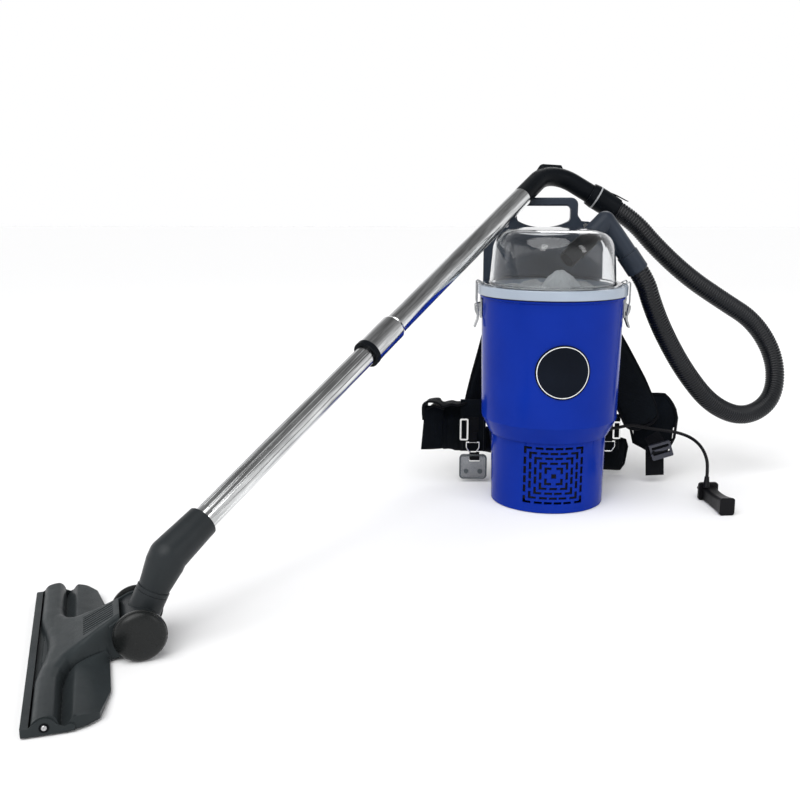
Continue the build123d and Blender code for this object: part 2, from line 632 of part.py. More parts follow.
with BuildPart() as lock_sleeve:
    rod(at(sleeve_from), sleeve_r, sleeve_len)
    cone(at(sleeve_from + sleeve_len), sleeve_r, tube_r + 0.9, 5)
    rod(at(sleeve_from - 1), tube_r + 0.1, sleeve_len + 8, mode=Mode.SUBTRACT)
lock_sleeve.part.label = "lock_sleeve"
export_step(lock_sleeve.part, "parts/lock_sleeve.step")

with BuildPart() as sleeve_ring:
    rod(at(ring_from), sleeve_r + 0.9, ring_len, inner=lower_r + 0.3)
    rod(at(ring_from + 2), tube_r + 0.1, ring_len, mode=Mode.SUBTRACT)
sleeve_ring.part.label = "sleeve_ring"
export_step(sleeve_ring.part, "parts/sleeve_ring.step")

# ================================================================ FLOOR HEAD
HEAD = Plane(origin=head_origin, x_dir=head_x, z_dir=(0, 0, 1))
drum_centre = HEAD.from_local_coords(Vector(axle_x, 0, axle_z))
lower_dir = (Vector(*neck_corner) - drum_centre).normalized()
side_dir = Vector(*HEAD.y_dir)


def on_neck(distance):
    """A plane across the lower neck, a distance up from the drum's centre."""
    return Plane(origin=drum_centre + lower_dir * distance, x_dir=side_dir, z_dir=lower_dir)


def beside(y, outward=1):
    """A plane across the wheel axis at the drum's centre, facing outward."""
    return in_frame(HEAD, Plane(origin=(axle_x, y, axle_z), x_dir=(1, 0, 0), z_dir=(0, outward, 0)))


# ---- one-piece bent neck: socket for the tube above, swivelling spigot below
socket_top, neck_foot, neck_knee = 64.0, 42.0, 78.0
neck_r, knee_r, socket_r = 18.6, 23.8, 21.2
with BuildPart() as neck:
    cone(on_neck(neck_foot), neck_r, knee_r, neck_knee - neck_foot)
    rod(on_neck(neck_knee), knee_r, span(drum_centre, neck_corner) - neck_knee)
    with Locations(neck_corner):
        Sphere(knee_r)
    cone(at(0), knee_r, socket_r, socket_top)
    rod(on_neck(40.5), 20.4, 5)
    rod(on_neck(23), lower_neck_r, 20)
    with BuildLine() as bore_line:
        FilletPolyline(drum_centre + lower_dir * 42, neck_corner, at(socket_top).origin, radius=50)
    with BuildSketch(on_neck(42)):
        Circle(14)
    sweep(mode=Mode.SUBTRACT)
    rod(on_neck(22), 14, 30, mode=Mode.SUBTRACT)
    rod(at(30 - gap), lower_r + 0.02, 40, mode=Mode.SUBTRACT)
neck.part.label = "neck"
export_step(neck.part, "parts/neck.step")

with BuildPart() as swivel_drum:
    rod(beside(-drum_half), drum_r, 2 * drum_half)
    rod(on_neck(8), 20.4, 32)
    rod(beside(-drum_half + 3), drum_r - 3.4, 2 * drum_half - 6, mode=Mode.SUBTRACT)
    rod(on_neck(6), lower_neck_r + fit, 40, mode=Mode.SUBTRACT)
    rod(beside(-drum_half - 1), 4 + fit, 2 * drum_half + 2, mode=Mode.SUBTRACT)
    block(in_frame(HEAD, Plane(origin=(axle_x, 0, axle_z - 1), x_dir=(0, 1, 0), z_dir=(-1, 0, 0))),
          36, 26, 40, mode=Mode.SUBTRACT)
swivel_drum.part.label = "swivel_drum"
export_step(swivel_drum.part, "parts/swivel_drum.step")

# ---- nozzle body: two rolled ridges along the lip, a duct, and a cradle for the drum
profile = [(8.5, 3), (8.5, 11), (14, 13), (26, 21), (35, 14), (44, 8), (54, 11), (68, 20), (80, 13),
           (head_deep, 5), (head_deep, 3)]
end_face = in_frame(HEAD, Plane(origin=(0, -lip_half, 0), x_dir=(1, 0, 0), z_dir=(0, -1, 0)))
duct_sections = [(30, 150, 14), (46, 96, 26), (68, 60, 40), (90, 54, 51), (100, 54, 54)]
with BuildPart() as head_body:
    with BuildSketch(end_face) as head_profile:
        with BuildLine():
            Polyline(*profile, close=True)
        make_face()
        for spot, radius in (((26, 21), 7), ((44, 8), 7), ((68, 20), 8), ((head_deep, 5), 1)):
            fillet(head_profile.vertices().sort_by_distance(Vector(*spot))[0], radius)
    extrude(head_profile.sketch, amount=-2 * lip_half)
    for hand in (-1, 1):
        slab(in_frame(HEAD, Plane.XY), [(head_deep + 2, hand * 112), (78, hand * 168), (56, hand * 184),
                                        (56, hand * 200), (head_deep + 20, hand * 200),
                                        (head_deep + 20, hand * 112)], 40, mode=Mode.SUBTRACT)
    for (x0, w0, h0), (x1, w1, h1) in zip(duct_sections, duct_sections[1:]):
        faces = []
        for x, width, height in ((x0, w0, h0), (x1, w1, h1)):
            with BuildSketch(in_frame(HEAD, Plane(origin=(x, 0, 3 + height / 2), x_dir=(0, 1, 0),
                                                  z_dir=(1, 0, 0)))) as duct_section:
                RectangleRounded(width, height, min(height, width) * 0.3)
            faces.append(duct_section.sketch.face())
        loft(faces)
    block(in_frame(HEAD, Plane(origin=(96, 0, 28), x_dir=(0, 1, 0), z_dir=(1, 0, 0))), 66, 44, 10, corner=4)
    for hand in (-1, 1):
        rod(beside(hand * (drum_half + 0.5), hand), 28.5, 3.4)
        slab(in_frame(HEAD, Plane(origin=(0, hand * (drum_half + 0.5), 0), x_dir=(1, 0, 0),
                                  z_dir=(0, -1, 0))),
             [(94, 8), (axle_x, 3.5), (axle_x, axle_z + 28), (98, 46)], -hand * 3.4)
    rod(beside(-drum_half - 0.5), drum_r + 0.6, 2 * drum_half + 1, mode=Mode.SUBTRACT)
    block(in_frame(HEAD, Plane(origin=(84, 0, 20), x_dir=(0, 1, 0), z_dir=(1, 0, 0))), 38, 30, 40,
          corner=4, mode=Mode.SUBTRACT)
    block(in_frame(HEAD, Plane(origin=(25, 0, 18), x_dir=(0, 1, 0), z_dir=(1, 0, 0))), 38, 20, 60,
          corner=4, mode=Mode.SUBTRACT)
    block(in_frame(HEAD, Plane(origin=(24, 0, 0), x_dir=(1, 0, 0), z_dir=(0, 0, 1))), 20, 330, 9,
          mode=Mode.SUBTRACT)
    for hand in (-1, 1):
        rod(beside(hand * (drum_half - 3), hand), 4 + 0.01, 12, mode=Mode.SUBTRACT)
    for row in range(8):
        y = (row - 3.5) * 4.4
        groove = Plane(origin=(62, y, 38.2), x_dir=(0, 1, 0), z_dir=(40, 0, 16.5))
        block(in_frame(HEAD, groove), 1.5, 3.0, 40, mode=Mode.SUBTRACT)
head_body.part.label = "head_body"
export_step(head_body.part, "parts/head_body.step")

with BuildPart() as front_strip:
    block(in_frame(HEAD, Plane(origin=(4.2, 0, 1.5), x_dir=(1, 0, 0), z_dir=(0, 0, 1))),
          8.2, 2 * lip_half, 9.5)
    block(in_frame(HEAD, Plane(origin=(4.2, 0, 1), x_dir=(1, 0, 0), z_dir=(0, 0, 1))),
          3.4, 2 * lip_half - 16, 7, mode=Mode.SUBTRACT)
front_strip.part.label = "front_strip"
export_step(front_strip.part, "parts/front_strip.step")

with BuildPart() as brush_strip:
    block(in_frame(HEAD, Plane(origin=(4.2, 0, 0), x_dir=(1, 0, 0), z_dir=(0, 0, 1))),
          3.2, 2 * lip_half - 18, 7.8)
brush_strip.part.label = "brush_strip"
export_step(brush_strip.part, "parts/brush_strip.step")

with BuildPart() as sole_plate:
    block(in_frame(HEAD, Plane(origin=(44.5, 0, 1.2), x_dir=(1, 0, 0), z_dir=(0, 0, 1))),
          70, 2 * lip_half - 30, 1.7, corner=5)
    block(in_frame(HEAD, Plane(origin=(24, 0, 0), x_dir=(1, 0, 0), z_dir=(0, 0, 1))),
          18, 320, 6, corner=3, mode=Mode.SUBTRACT)
sole_plate.part.label = "sole_plate"
export_step(sole_plate.part, "parts/sole_plate.step")

with BuildPart() as end_caps:
    for hand in (-1, 1):
        cap_face = in_frame(HEAD, Plane(origin=(0, hand * (lip_half + 0.1), 0), x_dir=(1, 0, 0),
                                        z_dir=(0, -1, 0)))
        slab(cap_face, [(0.4, 1.5), (0.4, 11), (14, 13.5), (26, 21), (35, 14), (44, 8), (52, 10),
                        (52, 2), (8, 1.5)], -hand * 2.4)
        rod(in_frame(HEAD, Plane(origin=(24, hand * (lip_half + 2), 9), z_dir=(0, hand, 0))), 3.2, 1.8)
end_caps.part.label = "end_caps"
export_step(end_caps.part, "parts/end_caps.step")

with BuildPart() as axle_pins:
    for hand in (-1, 1):
        rod(beside(hand * (drum_half - 2.9), hand), 4.0, wheel_y + 11 - drum_half + 2.9)
axle_pins.part.label = "axle_pins"
export_step(axle_pins.part, "parts/axle_pins.step")

for hand, label in ((-1, "head_wheel_near"), (1, "head_wheel_far")):
    with BuildPart() as wheel:
        rod(beside(hand * wheel_y, hand), wheel_r, wheel_t)
        cone(beside(hand * (wheel_y + wheel_t), hand), wheel_r - 6, wheel_r - 14, 2.4)
        rim_edges = wheel.edges().filter_by(GeomType.CIRCLE).group_by(SortBy.RADIUS)[-1]
        outer_edge = rim_edges.sort_by_distance(HEAD.from_local_coords(Vector(axle_x, hand * 200, axle_z)))[0]
        fillet(outer_edge, 5.5)
        rod(beside(hand * (wheel_y - 1), hand), 4 + fit, 13, mode=Mode.SUBTRACT)
    wheel.part.label = label
    export_step(wheel.part, f"parts/{label}.step")

# ================================================================ HOSE AND LEAD
hose_route = [cuff_end, Vector(*cuff_end) + grip_out * 38, (216, 187, 436), (282, 196, 379), (352, 208, 334),
              (424, 219, 290), (470, 220, 214), (464, 202, 138), (402, 172, 108), (326, 137, 140),
              (262, 104, 212), (214, 84, 288), (186, 69, 346),
              Vector(*elbow_end) + seam_axis.z_dir * 26, elbow_end]
lead_route = [lead_exit, lead_exit + gland_plane.z_dir * 16, (163, 72, 118), (195, 74, 110),
              (225, 71, 107), (250, 61, 105), (270, 43, 99), (281, 20, 88), (285, 1, 73),
              (284.5, -9, 59), (283, -14, 44)]

for label, route, radius in (("hose", hose_route, hose_r), ("power_lead", lead_route, lead_r)):
    radii = corner_radii(route)
    with BuildPart() as cord:
        with BuildLine() as cord_line:
            FilletPolyline(*route, radius=radii)
        with BuildSketch(Plane(origin=cord_line.line @ 0, z_dir=cord_line.line % 0)):
            Circle(radius)
        sweep()
    cord.part.label = label
    export_step(cord.part, f"parts/{label}.step")
    cord_length = sum(edge.length for edge in cord_line.edges())
    print(label, "length", round(cord_length), "radii", [round(r) for r in radii],
          "volume ratio", round(cord.part.volume / (math.pi * radius ** 2 * cord_length), 4))

# ---- right-angle mains plug lying on the floor
plug_far, plug_near = (288.0, -7.0, 0.0), (296.5, -98.0, 0.0)
plug_x = Vector(0, 0, 1).cross(Vector(*plug_near) - Vector(*plug_far)).normalized()
PLUG = Plane(origin=plug_far, x_dir=plug_x, z_dir=Vector(0, 0, 1))      # +Y points at the pins
with BuildPart() as plug:
    faces = []
    for y, width, height in ((0, 25, 27), (-48, 22, 25), (-92, 26, 31)):
        with BuildSketch(in_frame(PLUG, Plane(origin=(0, y, height / 2), x_dir=(1, 0, 0),
                                              z_dir=(0, 1, 0)))) as plug_section:
            RectangleRounded(width, height, 5)
        faces.append(plug_section.sketch.face())
    loft(faces)
    block(in_frame(PLUG, Plane(origin=(-1, -6, 16), x_dir=(1, 0, 0), z_dir=(0, 1, 0))), 35, 32, 6, corner=5)
    lead_end, lead_down = Vector(*lead_route[-1]), Vector(*lead_route[-1]) - Vector(*lead_route[-2])
    relief = Plane(origin=lead_end + lead_down.normalized() * 20, z_dir=-lead_down)
    cone(relief, 6.0, 4.0, 20)
    for x in (-10.5, 8.5):
        rod(in_frame(PLUG, Plane(origin=(x, -1, 16), x_dir=(1, 0, 0), z_dir=(0, 1, 0))), 2.4, 20)
plug.part.label = "plug"
export_step(plug.part, "parts/plug.step")

# ================================================================ HARNESS
def strap(places, width, thick, turn=(0, 1, 0)):
    """A padded strap: rounded sections across each stretch of its centre line."""
    spots = [Vector(*place) for place in places]
    sections = []
    for index, spot in enumerate(spots):
        before, after = spots[max(index - 1, 0)], spots[min(index + 1, len(spots) - 1)]
        run = (after - before).normalized()
        across = run.cross(Vector(*turn)).normalized()
        sections.append((Plane(origin=spot, x_dir=across, z_dir=run), width, thick))
    pad(sections)


with BuildPart() as back_pads:
    block(Plane(origin=(0, 141, 250), x_dir=(1, 0, 0), z_dir=(0, 1, 0)), 120, 300, 20, corner=22)
    slab(Plane(origin=(0, 161, 0), x_dir=(1, 0, 0), z_dir=(0, -1, 0)),
         [(-127, 44), (-90, 38), (90, 10), (148, 3.5), (172, 5), (166, 44), (150, 92), (-127, 96)], 20,
         corner=6)
back_pads.part.label = "back_pads"
export_step(back_pads.part, "parts/back_pads.step")

wing_sections = [[((-131, 128, 98), 104, 15), ((-180, 116, 100), 98, 15), ((-214, 97, 106), 90, 15),
                  ((-227, 82, 108), 86, 12)],
                 [((175, 146, 104), 88, 14), ((204, 138, 112), 118, 15), ((234, 122, 114), 128, 14),
                  ((251, 104, 104), 92, 12)]]
with BuildPart() as hip_wings:
    for sections in wing_sections:
        spots = [Vector(*spot) for spot, _, _ in sections]
        cuts = []
        for index, (spot, height, thick) in enumerate(sections):
            run = spots[min(index + 1, len(spots) - 1)] - spots[max(index - 1, 0)]
            run = Vector(run.X, run.Y, 0).normalized()
            cuts.append((Plane(origin=spot, x_dir=(0, 0, 1), z_dir=run), height, thick))
        pad(cuts)
hip_wings.part.label = "hip_wings"
export_step(hip_wings.part, "parts/hip_wings.step")

strap_routes = [[(-60, 183, 398), (-68, 181, 330), (-94, 164, 240), (-119, 148, 160), (-128, 147, 124)],
                [(60, 183, 398), (76, 181, 345), (125, 152, 272), (166, 128, 188), (202, 107, 104)]]
with BuildPart() as shoulder_straps:
    for route in strap_routes:
        strap(route, 62, 12)
shoulder_straps.part.label = "shoulder_straps"
export_step(shoulder_straps.part, "parts/shoulder_straps.step")

# ---- webbing panels at both sides that carry the rings, and the right strap's free end
ring_drop = 19.0
with BuildPart() as webbings:
    for x, y, high, width in ((-129, 97, 158, 48), (128, 112, 128, 44)):
        block(Plane(origin=(x, y, (57 + high) / 2), x_dir=(1, 0, 0), z_dir=(0, 1, 0)),
              width, high - 57, 2.4, corner=1)
        loop = Plane(origin=(x, y - 3.2, 57 + ring_drop), x_dir=(0, 1, 0), z_dir=(1, 0, 0))
        for edge in (-6, 2.6):
            rod(loop.offset(edge), 3.4, 3.4)
        rod(loop.offset(-9), 1.5 + fit, 18, mode=Mode.SUBTRACT)
    for y_from, deep, z_mid, tall in ((83.6, 14.4, 41.6, 2.4), (83.6, 2.4, 45.4, 10), (95.8, 2.2, 49, 17)):
        block(Plane(origin=(-126, y_from, z_mid), x_dir=(1, 0, 0), z_dir=(0, 1, 0)), 17, tall, deep)
    block(Plane(origin=(214, 90.5, 44), x_dir=(1, 0, -0.04), z_dir=(0, 1, 0)), 35, 58, 2.2, corner=1)
webbings.part.label = "webbings"
export_step(webbings.part, "parts/webbings.step")


def wire_loop(plane, width, height, bar_r):
    """A welded wire ring, its corners rounded, centred on the plane."""
    with BuildSketch(plane) as face:
        RectangleRounded(width, height, 3)
        RectangleRounded(width - 4 * bar_r, height - 4 * bar_r, 1, mode=Mode.SUBTRACT)
    extrude(face.sketch, amount=bar_r, both=True)


with BuildPart() as strap_rings:
    for x, y, z, wide, high in ((-146, 93.5, 101, 16, 42), (143, 108.5, 98, 15, 34)):
        wire_loop(Plane(origin=(x, y, z), x_dir=(1, 0, 0), z_dir=(0, 1, 0)), wide, high, 1.5)
strap_rings.part.label = "strap_rings"
export_step(strap_rings.part, "parts/strap_rings.step")

for label, x, y, z in (("d_ring_left", -129, 93.8, 76), ("d_ring_right", 128, 108.8, 76)):
    with BuildPart() as d_ring:
        rod(Plane(origin=(x - 12, y, z), x_dir=(0, 1, 0), z_dir=(1, 0, 0)), 1.5, 24)
        with BuildLine() as bow:
            FilletPolyline((x - 12, y, z), (x - 12, y, z - 10), (x - 6, y, z - 19), (x + 6, y, z - 19),
                           (x + 12, y, z - 10), (x + 12, y, z), radius=4)
        with BuildSketch(Plane(origin=bow.line @ 0, z_dir=bow.line % 0)):
            Circle(1.5)
        sweep()
        for end in (-12, 12):
            with Locations((x + end, y, z)):
                Sphere(1.5)
    d_ring.part.label = label
    export_step(d_ring.part, f"parts/{label}.step")

with BuildPart() as clear_plate:
    plate_face = Plane(origin=(-128.5, 86.6, 30), x_dir=(1, 0, 0), z_dir=(0, 1, 0))
    block(plate_face, 52, 48, 4, corner=8)
    block(plate_face, 44, 40, 2.4, corner=5, mode=Mode.SUBTRACT)
    block(Plane(origin=(-126, 80, 43), x_dir=(1, 0, 0), z_dir=(0, 1, 0)), 20, 7, 20, corner=1.5,
          mode=Mode.SUBTRACT)
clear_plate.part.label = "clear_plate"
export_step(clear_plate.part, "parts/clear_plate.step")

# ---- ladder lock at the right strap's end and the free end of its webbing
lock_tilt = Vector(-0.30, 0.0, 0.954)
lock_plane = Plane(origin=(222, 82, 66), x_dir=Vector(0, 1, 0).cross(lock_tilt), z_dir=(0, 1, 0))
with BuildPart() as ladder_lock:
    block(lock_plane.offset(-3.5), 40, 30, 7, corner=3)
    for shift in (-7.5, 3.5):
        with BuildSketch(lock_plane.offset(-6)) as slot_face:
            with Locations((0, shift)):
                SlotOverall(33, 5.5)
        extrude(slot_face.sketch, amount=14, mode=Mode.SUBTRACT)
ladder_lock.part.label = "ladder_lock"
export_step(ladder_lock.part, "parts/ladder_lock.step")
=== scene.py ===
"""Backpack vacuum cleaner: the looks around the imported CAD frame.

Lengths are metres, in the frame's own coordinates; MM turns the part's millimetres into them."""
import math

import bmesh
import bpy
import numpy as np
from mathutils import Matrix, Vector, noise


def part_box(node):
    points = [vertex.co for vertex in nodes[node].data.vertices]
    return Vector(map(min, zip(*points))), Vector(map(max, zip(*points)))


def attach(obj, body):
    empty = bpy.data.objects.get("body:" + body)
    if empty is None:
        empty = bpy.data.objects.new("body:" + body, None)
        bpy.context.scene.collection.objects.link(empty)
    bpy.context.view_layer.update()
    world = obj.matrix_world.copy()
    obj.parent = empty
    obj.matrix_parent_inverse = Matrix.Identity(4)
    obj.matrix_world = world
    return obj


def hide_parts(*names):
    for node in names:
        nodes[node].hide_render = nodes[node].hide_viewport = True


MM = 0.001
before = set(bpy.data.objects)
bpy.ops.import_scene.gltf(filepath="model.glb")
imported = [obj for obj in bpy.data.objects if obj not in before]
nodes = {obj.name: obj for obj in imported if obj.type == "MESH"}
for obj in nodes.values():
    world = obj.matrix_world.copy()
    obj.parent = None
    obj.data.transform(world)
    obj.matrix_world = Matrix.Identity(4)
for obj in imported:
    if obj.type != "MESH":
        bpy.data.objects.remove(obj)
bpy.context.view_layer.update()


def mm(*values):
    """A place or an offset given in millimetres."""
    return Vector(values) * MM


# The wand runs from the neck's corner on the floor head up to the grip, beyond the upper tube.
wand_end, neck_corner = mm(-42.5, 108, 535), mm(-528.6, -601.6, 111.4)
wand_dir = (wand_end - neck_corner).normalized()
wand_len = (wand_end - neck_corner).length


# ================================================================ materials
def shader(name, color, rough, metallic=0.0, **sockets):
    """A new Principled material and its node tree."""
    made = bpy.data.materials.new(name)
    made.use_nodes = True
    tree = made.node_tree
    main = tree.nodes["Principled BSDF"]
    main.inputs["Base Color"].default_value = (*color, 1)
    main.inputs["Roughness"].default_value = rough
    main.inputs["Metallic"].default_value = metallic
    for socket, value in sockets.items():
        main.inputs[socket.replace("_", " ")].default_value = value
    return made, tree, main


def coordinates(tree, stretch=(1, 1, 1), along=None):
    """Object coordinates, stretched so that a pattern can run along one way."""
    place = tree.nodes.new("ShaderNodeTexCoord")
    mapping = tree.nodes.new("ShaderNodeMapping")
    mapping.inputs["Scale"].default_value = stretch
    if along:
        mapping.vector_type = "TEXTURE"
        mapping.inputs["Scale"].default_value = [1 / value for value in stretch]
        mapping.inputs["Rotation"].default_value = Vector((0, 0, 1)).rotation_difference(along).to_euler()
    tree.links.new(place.outputs["Object"], mapping.inputs["Vector"])
    return mapping.outputs["Vector"]


def grain(tree, where, scale, detail=3.0, rough=0.55):
    """Fractal noise between 0 and 1."""
    made = tree.nodes.new("ShaderNodeTexNoise")
    made.inputs["Scale"].default_value = scale
    made.inputs["Detail"].default_value = detail
    made.inputs["Roughness"].default_value = rough
    tree.links.new(where, made.inputs["Vector"])
    return made.outputs["Fac"]


def ramp(tree, factor, low, high):
    """A colour ramp between two colours, over the middle of the noise's range."""
    made = tree.nodes.new("ShaderNodeValToRGB")
    made.color_ramp.elements[0].position = 0.35
    made.color_ramp.elements[1].position = 0.65
    made.color_ramp.elements[0].color = (*low, 1)
    made.color_ramp.elements[1].color = (*high, 1)
    tree.links.new(factor, made.inputs["Fac"])
    return made.outputs["Color"]


def span_of(tree, factor, low, high):
    """A number from low to high as the factor goes from 0.3 to 0.7."""
    made = tree.nodes.new("ShaderNodeMapRange")
    made.inputs["From Min"].default_value = 0.3
    made.inputs["From Max"].default_value = 0.7
    made.inputs["To Min"].default_value = low
    made.inputs["To Max"].default_value = high
    tree.links.new(factor, made.inputs["Value"])
    return made.outputs["Result"]


def bumped(tree, main, height, strength, distance):
    """A bump from a height pattern, on the material's normal."""
    made = tree.nodes.new("ShaderNodeBump")
    made.inputs["Strength"].default_value = strength
    made.inputs["Distance"].default_value = distance
    tree.links.new(height, made.inputs["Height"])
    tree.links.new(made.outputs["Normal"], main.inputs["Normal"])


def shade(color, factor):
    return tuple(channel * factor for channel in color)


def plastic(name, color, rough, vary=0.12, texture=0.0, texture_scale=2600, **sockets):
    """Moulded plastic or rubber: slight mottling, uneven gloss and a moulded grain."""
    made, tree, main = shader(name, color, rough, **sockets)
    where = coordinates(tree)
    broad = grain(tree, where, 9, 4)
    tree.links.new(ramp(tree, broad, shade(color, 1 - vary), shade(color, 1 + vary)),
                   main.inputs["Base Color"])
    fine = grain(tree, where, 60, 5, 0.65)
    tree.links.new(span_of(tree, fine, rough * 0.85, rough * 1.2), main.inputs["Roughness"])
    if texture:
        bumped(tree, main, grain(tree, where, texture_scale, 2), texture, 0.0002)
    else:
        bumped(tree, main, grain(tree, where, 14, 2), 0.04, 0.002)
    return made


def metal(name, color, rough, stretch, smudge_and_painted_reflection=0.2, along=None):
    """Drawn or polished metal: fine streaks along one way in the roughness and bump, and soft smudges that
    darken the colour; stretched along a way and made strong, the smudges are painted reflection streaks.
    """
    made, tree, main = shader(name, color, rough, 1.0)
    streaks = grain(tree, coordinates(tree, stretch, along), 30, 4, 0.7)
    smudge_and_reflection_way = coordinates(tree, (7, 7, 0.5), along) if along else coordinates(tree)
    smudges_and_painted_reflections = grain(tree, smudge_and_reflection_way, 25, 4, 0.6)
    # The smudges darken the colour; on the wand tubes they are painted reflection streaks.
    tree.links.new(ramp(tree, smudges_and_painted_reflections, shade(color, 1 - smudge_and_painted_reflection), color), main.inputs["Base Color"])
    tree.links.new(span_of(tree, streaks, rough * 0.6, rough * 1.6), main.inputs["Roughness"])
    bumped(tree, main, streaks, 0.10, 0.0004)
    return made


WAVE_SCALE = 0.314      # the wave texture's scale times the length of one wave


def cloth(name, color, rough, pitch=0.0011, weave=0.6, sheen=0.25, vary=0.25, **sockets):
    """Woven fabric: crossed yarns along each axis, dust in the folds and a little sheen."""
    made, tree, main = shader(name, color, rough, Sheen_Weight=sheen, Sheen_Roughness=0.5, **sockets)
    where = coordinates(tree)
    height = None
    for axis in ("X", "Y", "Z"):
        band = tree.nodes.new("ShaderNodeTexWave")
        band.bands_direction = axis
        band.inputs["Scale"].default_value = WAVE_SCALE / pitch
        band.inputs["Distortion"].default_value = 0.6
        tree.links.new(where, band.inputs["Vector"])
        if height is None:
            height = band.outputs["Fac"]
            continue
        both = tree.nodes.new("ShaderNodeMath")
        both.operation = "ADD"
        tree.links.new(height, both.inputs[0])
        tree.links.new(band.outputs["Fac"], both.inputs[1])
        height = both.outputs["Value"]
    bumped(tree, main, height, weave, pitch * 0.35)
    broad = grain(tree, where, 16, 5, 0.65)
    tree.links.new(ramp(tree, broad, shade(color, 1 - vary), shade(color, 1 + vary)),
                   main.inputs["Base Color"])
    return made


blue = plastic("blue_gloss", (0.0035, 0.023, 0.262), 0.18, 0.06, IOR=1.13, Coat_Weight=0.02,
               Coat_Roughness=0.05)
black = plastic("black_plastic", (0.0045, 0.0055, 0.007), 0.30, 0.2, 0.25, IOR=1.13)
slate = plastic("slate_plastic", (0.020, 0.027, 0.040), 0.36, 0.15, 0.3, IOR=1.28)
satin = plastic("head_plastic", (0.025, 0.030, 0.032), 0.36, 0.12, 0.5, 1800, IOR=1.2)
# A darker copy of the head's plastic for the neck and swivel drum: painted shade, since the neck is the same
# plastic as the head.
neck_painted_shade = plastic("neck_plastic_painted_shade", (0.018, 0.021, 0.023), 0.36, 0.12, 0.5, 1800, IOR=1.24)
tyre = plastic("wheel_plastic", (0.009, 0.010, 0.010), 0.27, 0.12, 0.25, 1800, IOR=1.32)
rubber = plastic("black_rubber", (0.005, 0.005, 0.006), 0.40, 0.2, 0.4, IOR=1.2)
ribbed = plastic("hose_rubber", (0.004, 0.005, 0.007), 0.22, 0.2, 0.2, IOR=1.33)
white = plastic("white_trim", (0.78, 0.79, 0.78), 0.25, 0.04)
ring_grey = plastic("ring_grey", (0.30, 0.31, 0.32), 0.3, 0.1)
# Darker plastic for the deepest rib grooves on the floor head: painted shade that stands in for the shadow
# in the grooves.
painted_groove_shade = plastic("groove_painted_shade", (0.010, 0.012, 0.013), 0.6, 0.1, 0.3, 1800, Specular_IOR_Level=0.2)
grey = plastic("lock_plastic", (0.030, 0.032, 0.045), 0.3, 0.15, 0.3)
frosted = plastic("frosted_ring", (0.31, 0.36, 0.43), 0.22, 0.07, Coat_Weight=0.3, Coat_Roughness=0.1)
smoke = plastic("smoke_plate", (0.30, 0.31, 0.33), 0.14, 0.1, Transmission_Weight=0.85, IOR=1.25)
smoke_dark = plastic("smoke_rim", (0.05, 0.06, 0.065), 0.2, 0.1)
black_gloss = plastic("badge_gloss", (0.004, 0.006, 0.011), 0.14, 0.2, IOR=1.14)
bristles = cloth("bristle", (0.02, 0.02, 0.02), 0.8, 0.0006, 1.0)
foam = plastic("open_foam", (0.006, 0.006, 0.008), 0.9, 0.3, 1.0, 900)
chrome = metal("chrome", (0.78, 0.78, 0.77), 0.11, (1, 1, 1))
# The wand tubes' strong dark colour streaks along the wand are painted reflection streaks, standing in for
# the surroundings mirrored in the chrome.
tube_chrome = metal("tube_chrome", (0.84, 0.85, 0.85), 0.12, (22, 22, 0.6), 0.5,
                    wand_dir)
steel = metal("brushed_steel", (0.58, 0.58, 0.59), 0.28, (20, 20, 2))
latch_steel = metal("latch_steel", (0.40, 0.41, 0.42), 0.20, (1, 1, 1), 0.35)
nylon = cloth("nylon_fabric", (0.0030, 0.0044, 0.0066), 0.60, 0.0013, 0.7, 0.008, IOR=1.14)
mesh_cloth = cloth("spacer_mesh", (0.008, 0.008, 0.010), 0.75, 0.0026, 1.0, 0.05, IOR=1.25)
webbing = cloth("webbing", (0.0040, 0.0045, 0.0064), 0.56, 0.0017, 1.0, 0.012, IOR=1.18)
bag_cloth = cloth("bag_cloth", (0.30, 0.32, 0.33), 0.85, 0.0016, 0.6, 0.3, 0.15)


def clear_plastic():
    """Clear moulded lid: a thin transparent wall with a few fine scuffs."""
    made, tree, main = shader("clear_lid", (0.94, 0.95, 0.96), 0.03, Transmission_Weight=1.0, IOR=1.40)
    scuffs = grain(tree, coordinates(tree, (1, 1, 8)), 40, 6, 0.8)
    tree.links.new(span_of(tree, scuffs, 0.01, 0.07), main.inputs["Roughness"])
    bumped(tree, main, grain(tree, coordinates(tree), 18, 2), 0.05, 0.002)
    return made


clear = clear_plastic()

finishes = {
    blue: ["canister_shell", "motor_cover"],
    black: ["base_plate", "badge", "motor_deck", "fan_rotor", "inlet_nozzle",
            "switch_bezel", "switch_rocker", "handle_tube", "air_slider", "hose_cuff", "sleeve_ring"],
    slate: ["back_plate", "plate_saddles", "inlet_elbow", "elbow_cuff"],
    satin: ["head_body", "end_caps", "front_strip"],
    neck_painted_shade: ["neck", "swivel_drum"],
    tyre: ["head_wheel_near", "head_wheel_far"],
    rubber: ["lid_seal", "motor_mounts", "cable_gland", "plug", "power_lead"],
    frosted: ["lid_ring"],
    smoke: ["clear_plate"],
    ring_grey: ["cuff_ring"],
    grey: ["ladder_lock"],
    clear: ["lid_dome"],
    chrome: ["strap_rings", "d_ring_left", "d_ring_right"],
    tube_chrome: ["upper_tube", "lower_tube", "lock_sleeve"],
    steel: ["motor_can", "fan_housing", "housing_screws", "plate_screws", "latch_pins", "sole_plate",
            "axle_pins"],
    latch_steel: ["latch_bases", "latch_lever_left", "latch_lever_right", "latch_wire_left",
                  "latch_wire_right"],
    bristles: ["brush_strip"],
    foam: ["exhaust_foam"],
    webbing: ["webbings"],
    nylon: ["back_pads", "hip_wings", "shoulder_straps"],
    bag_cloth: ["filter_bag"],
    ribbed: ["hose"],
}
for finish, names in finishes.items():
    for name in names:
        piece = nodes[name]
        piece.data.materials.clear()
        piece.data.materials.append(finish)


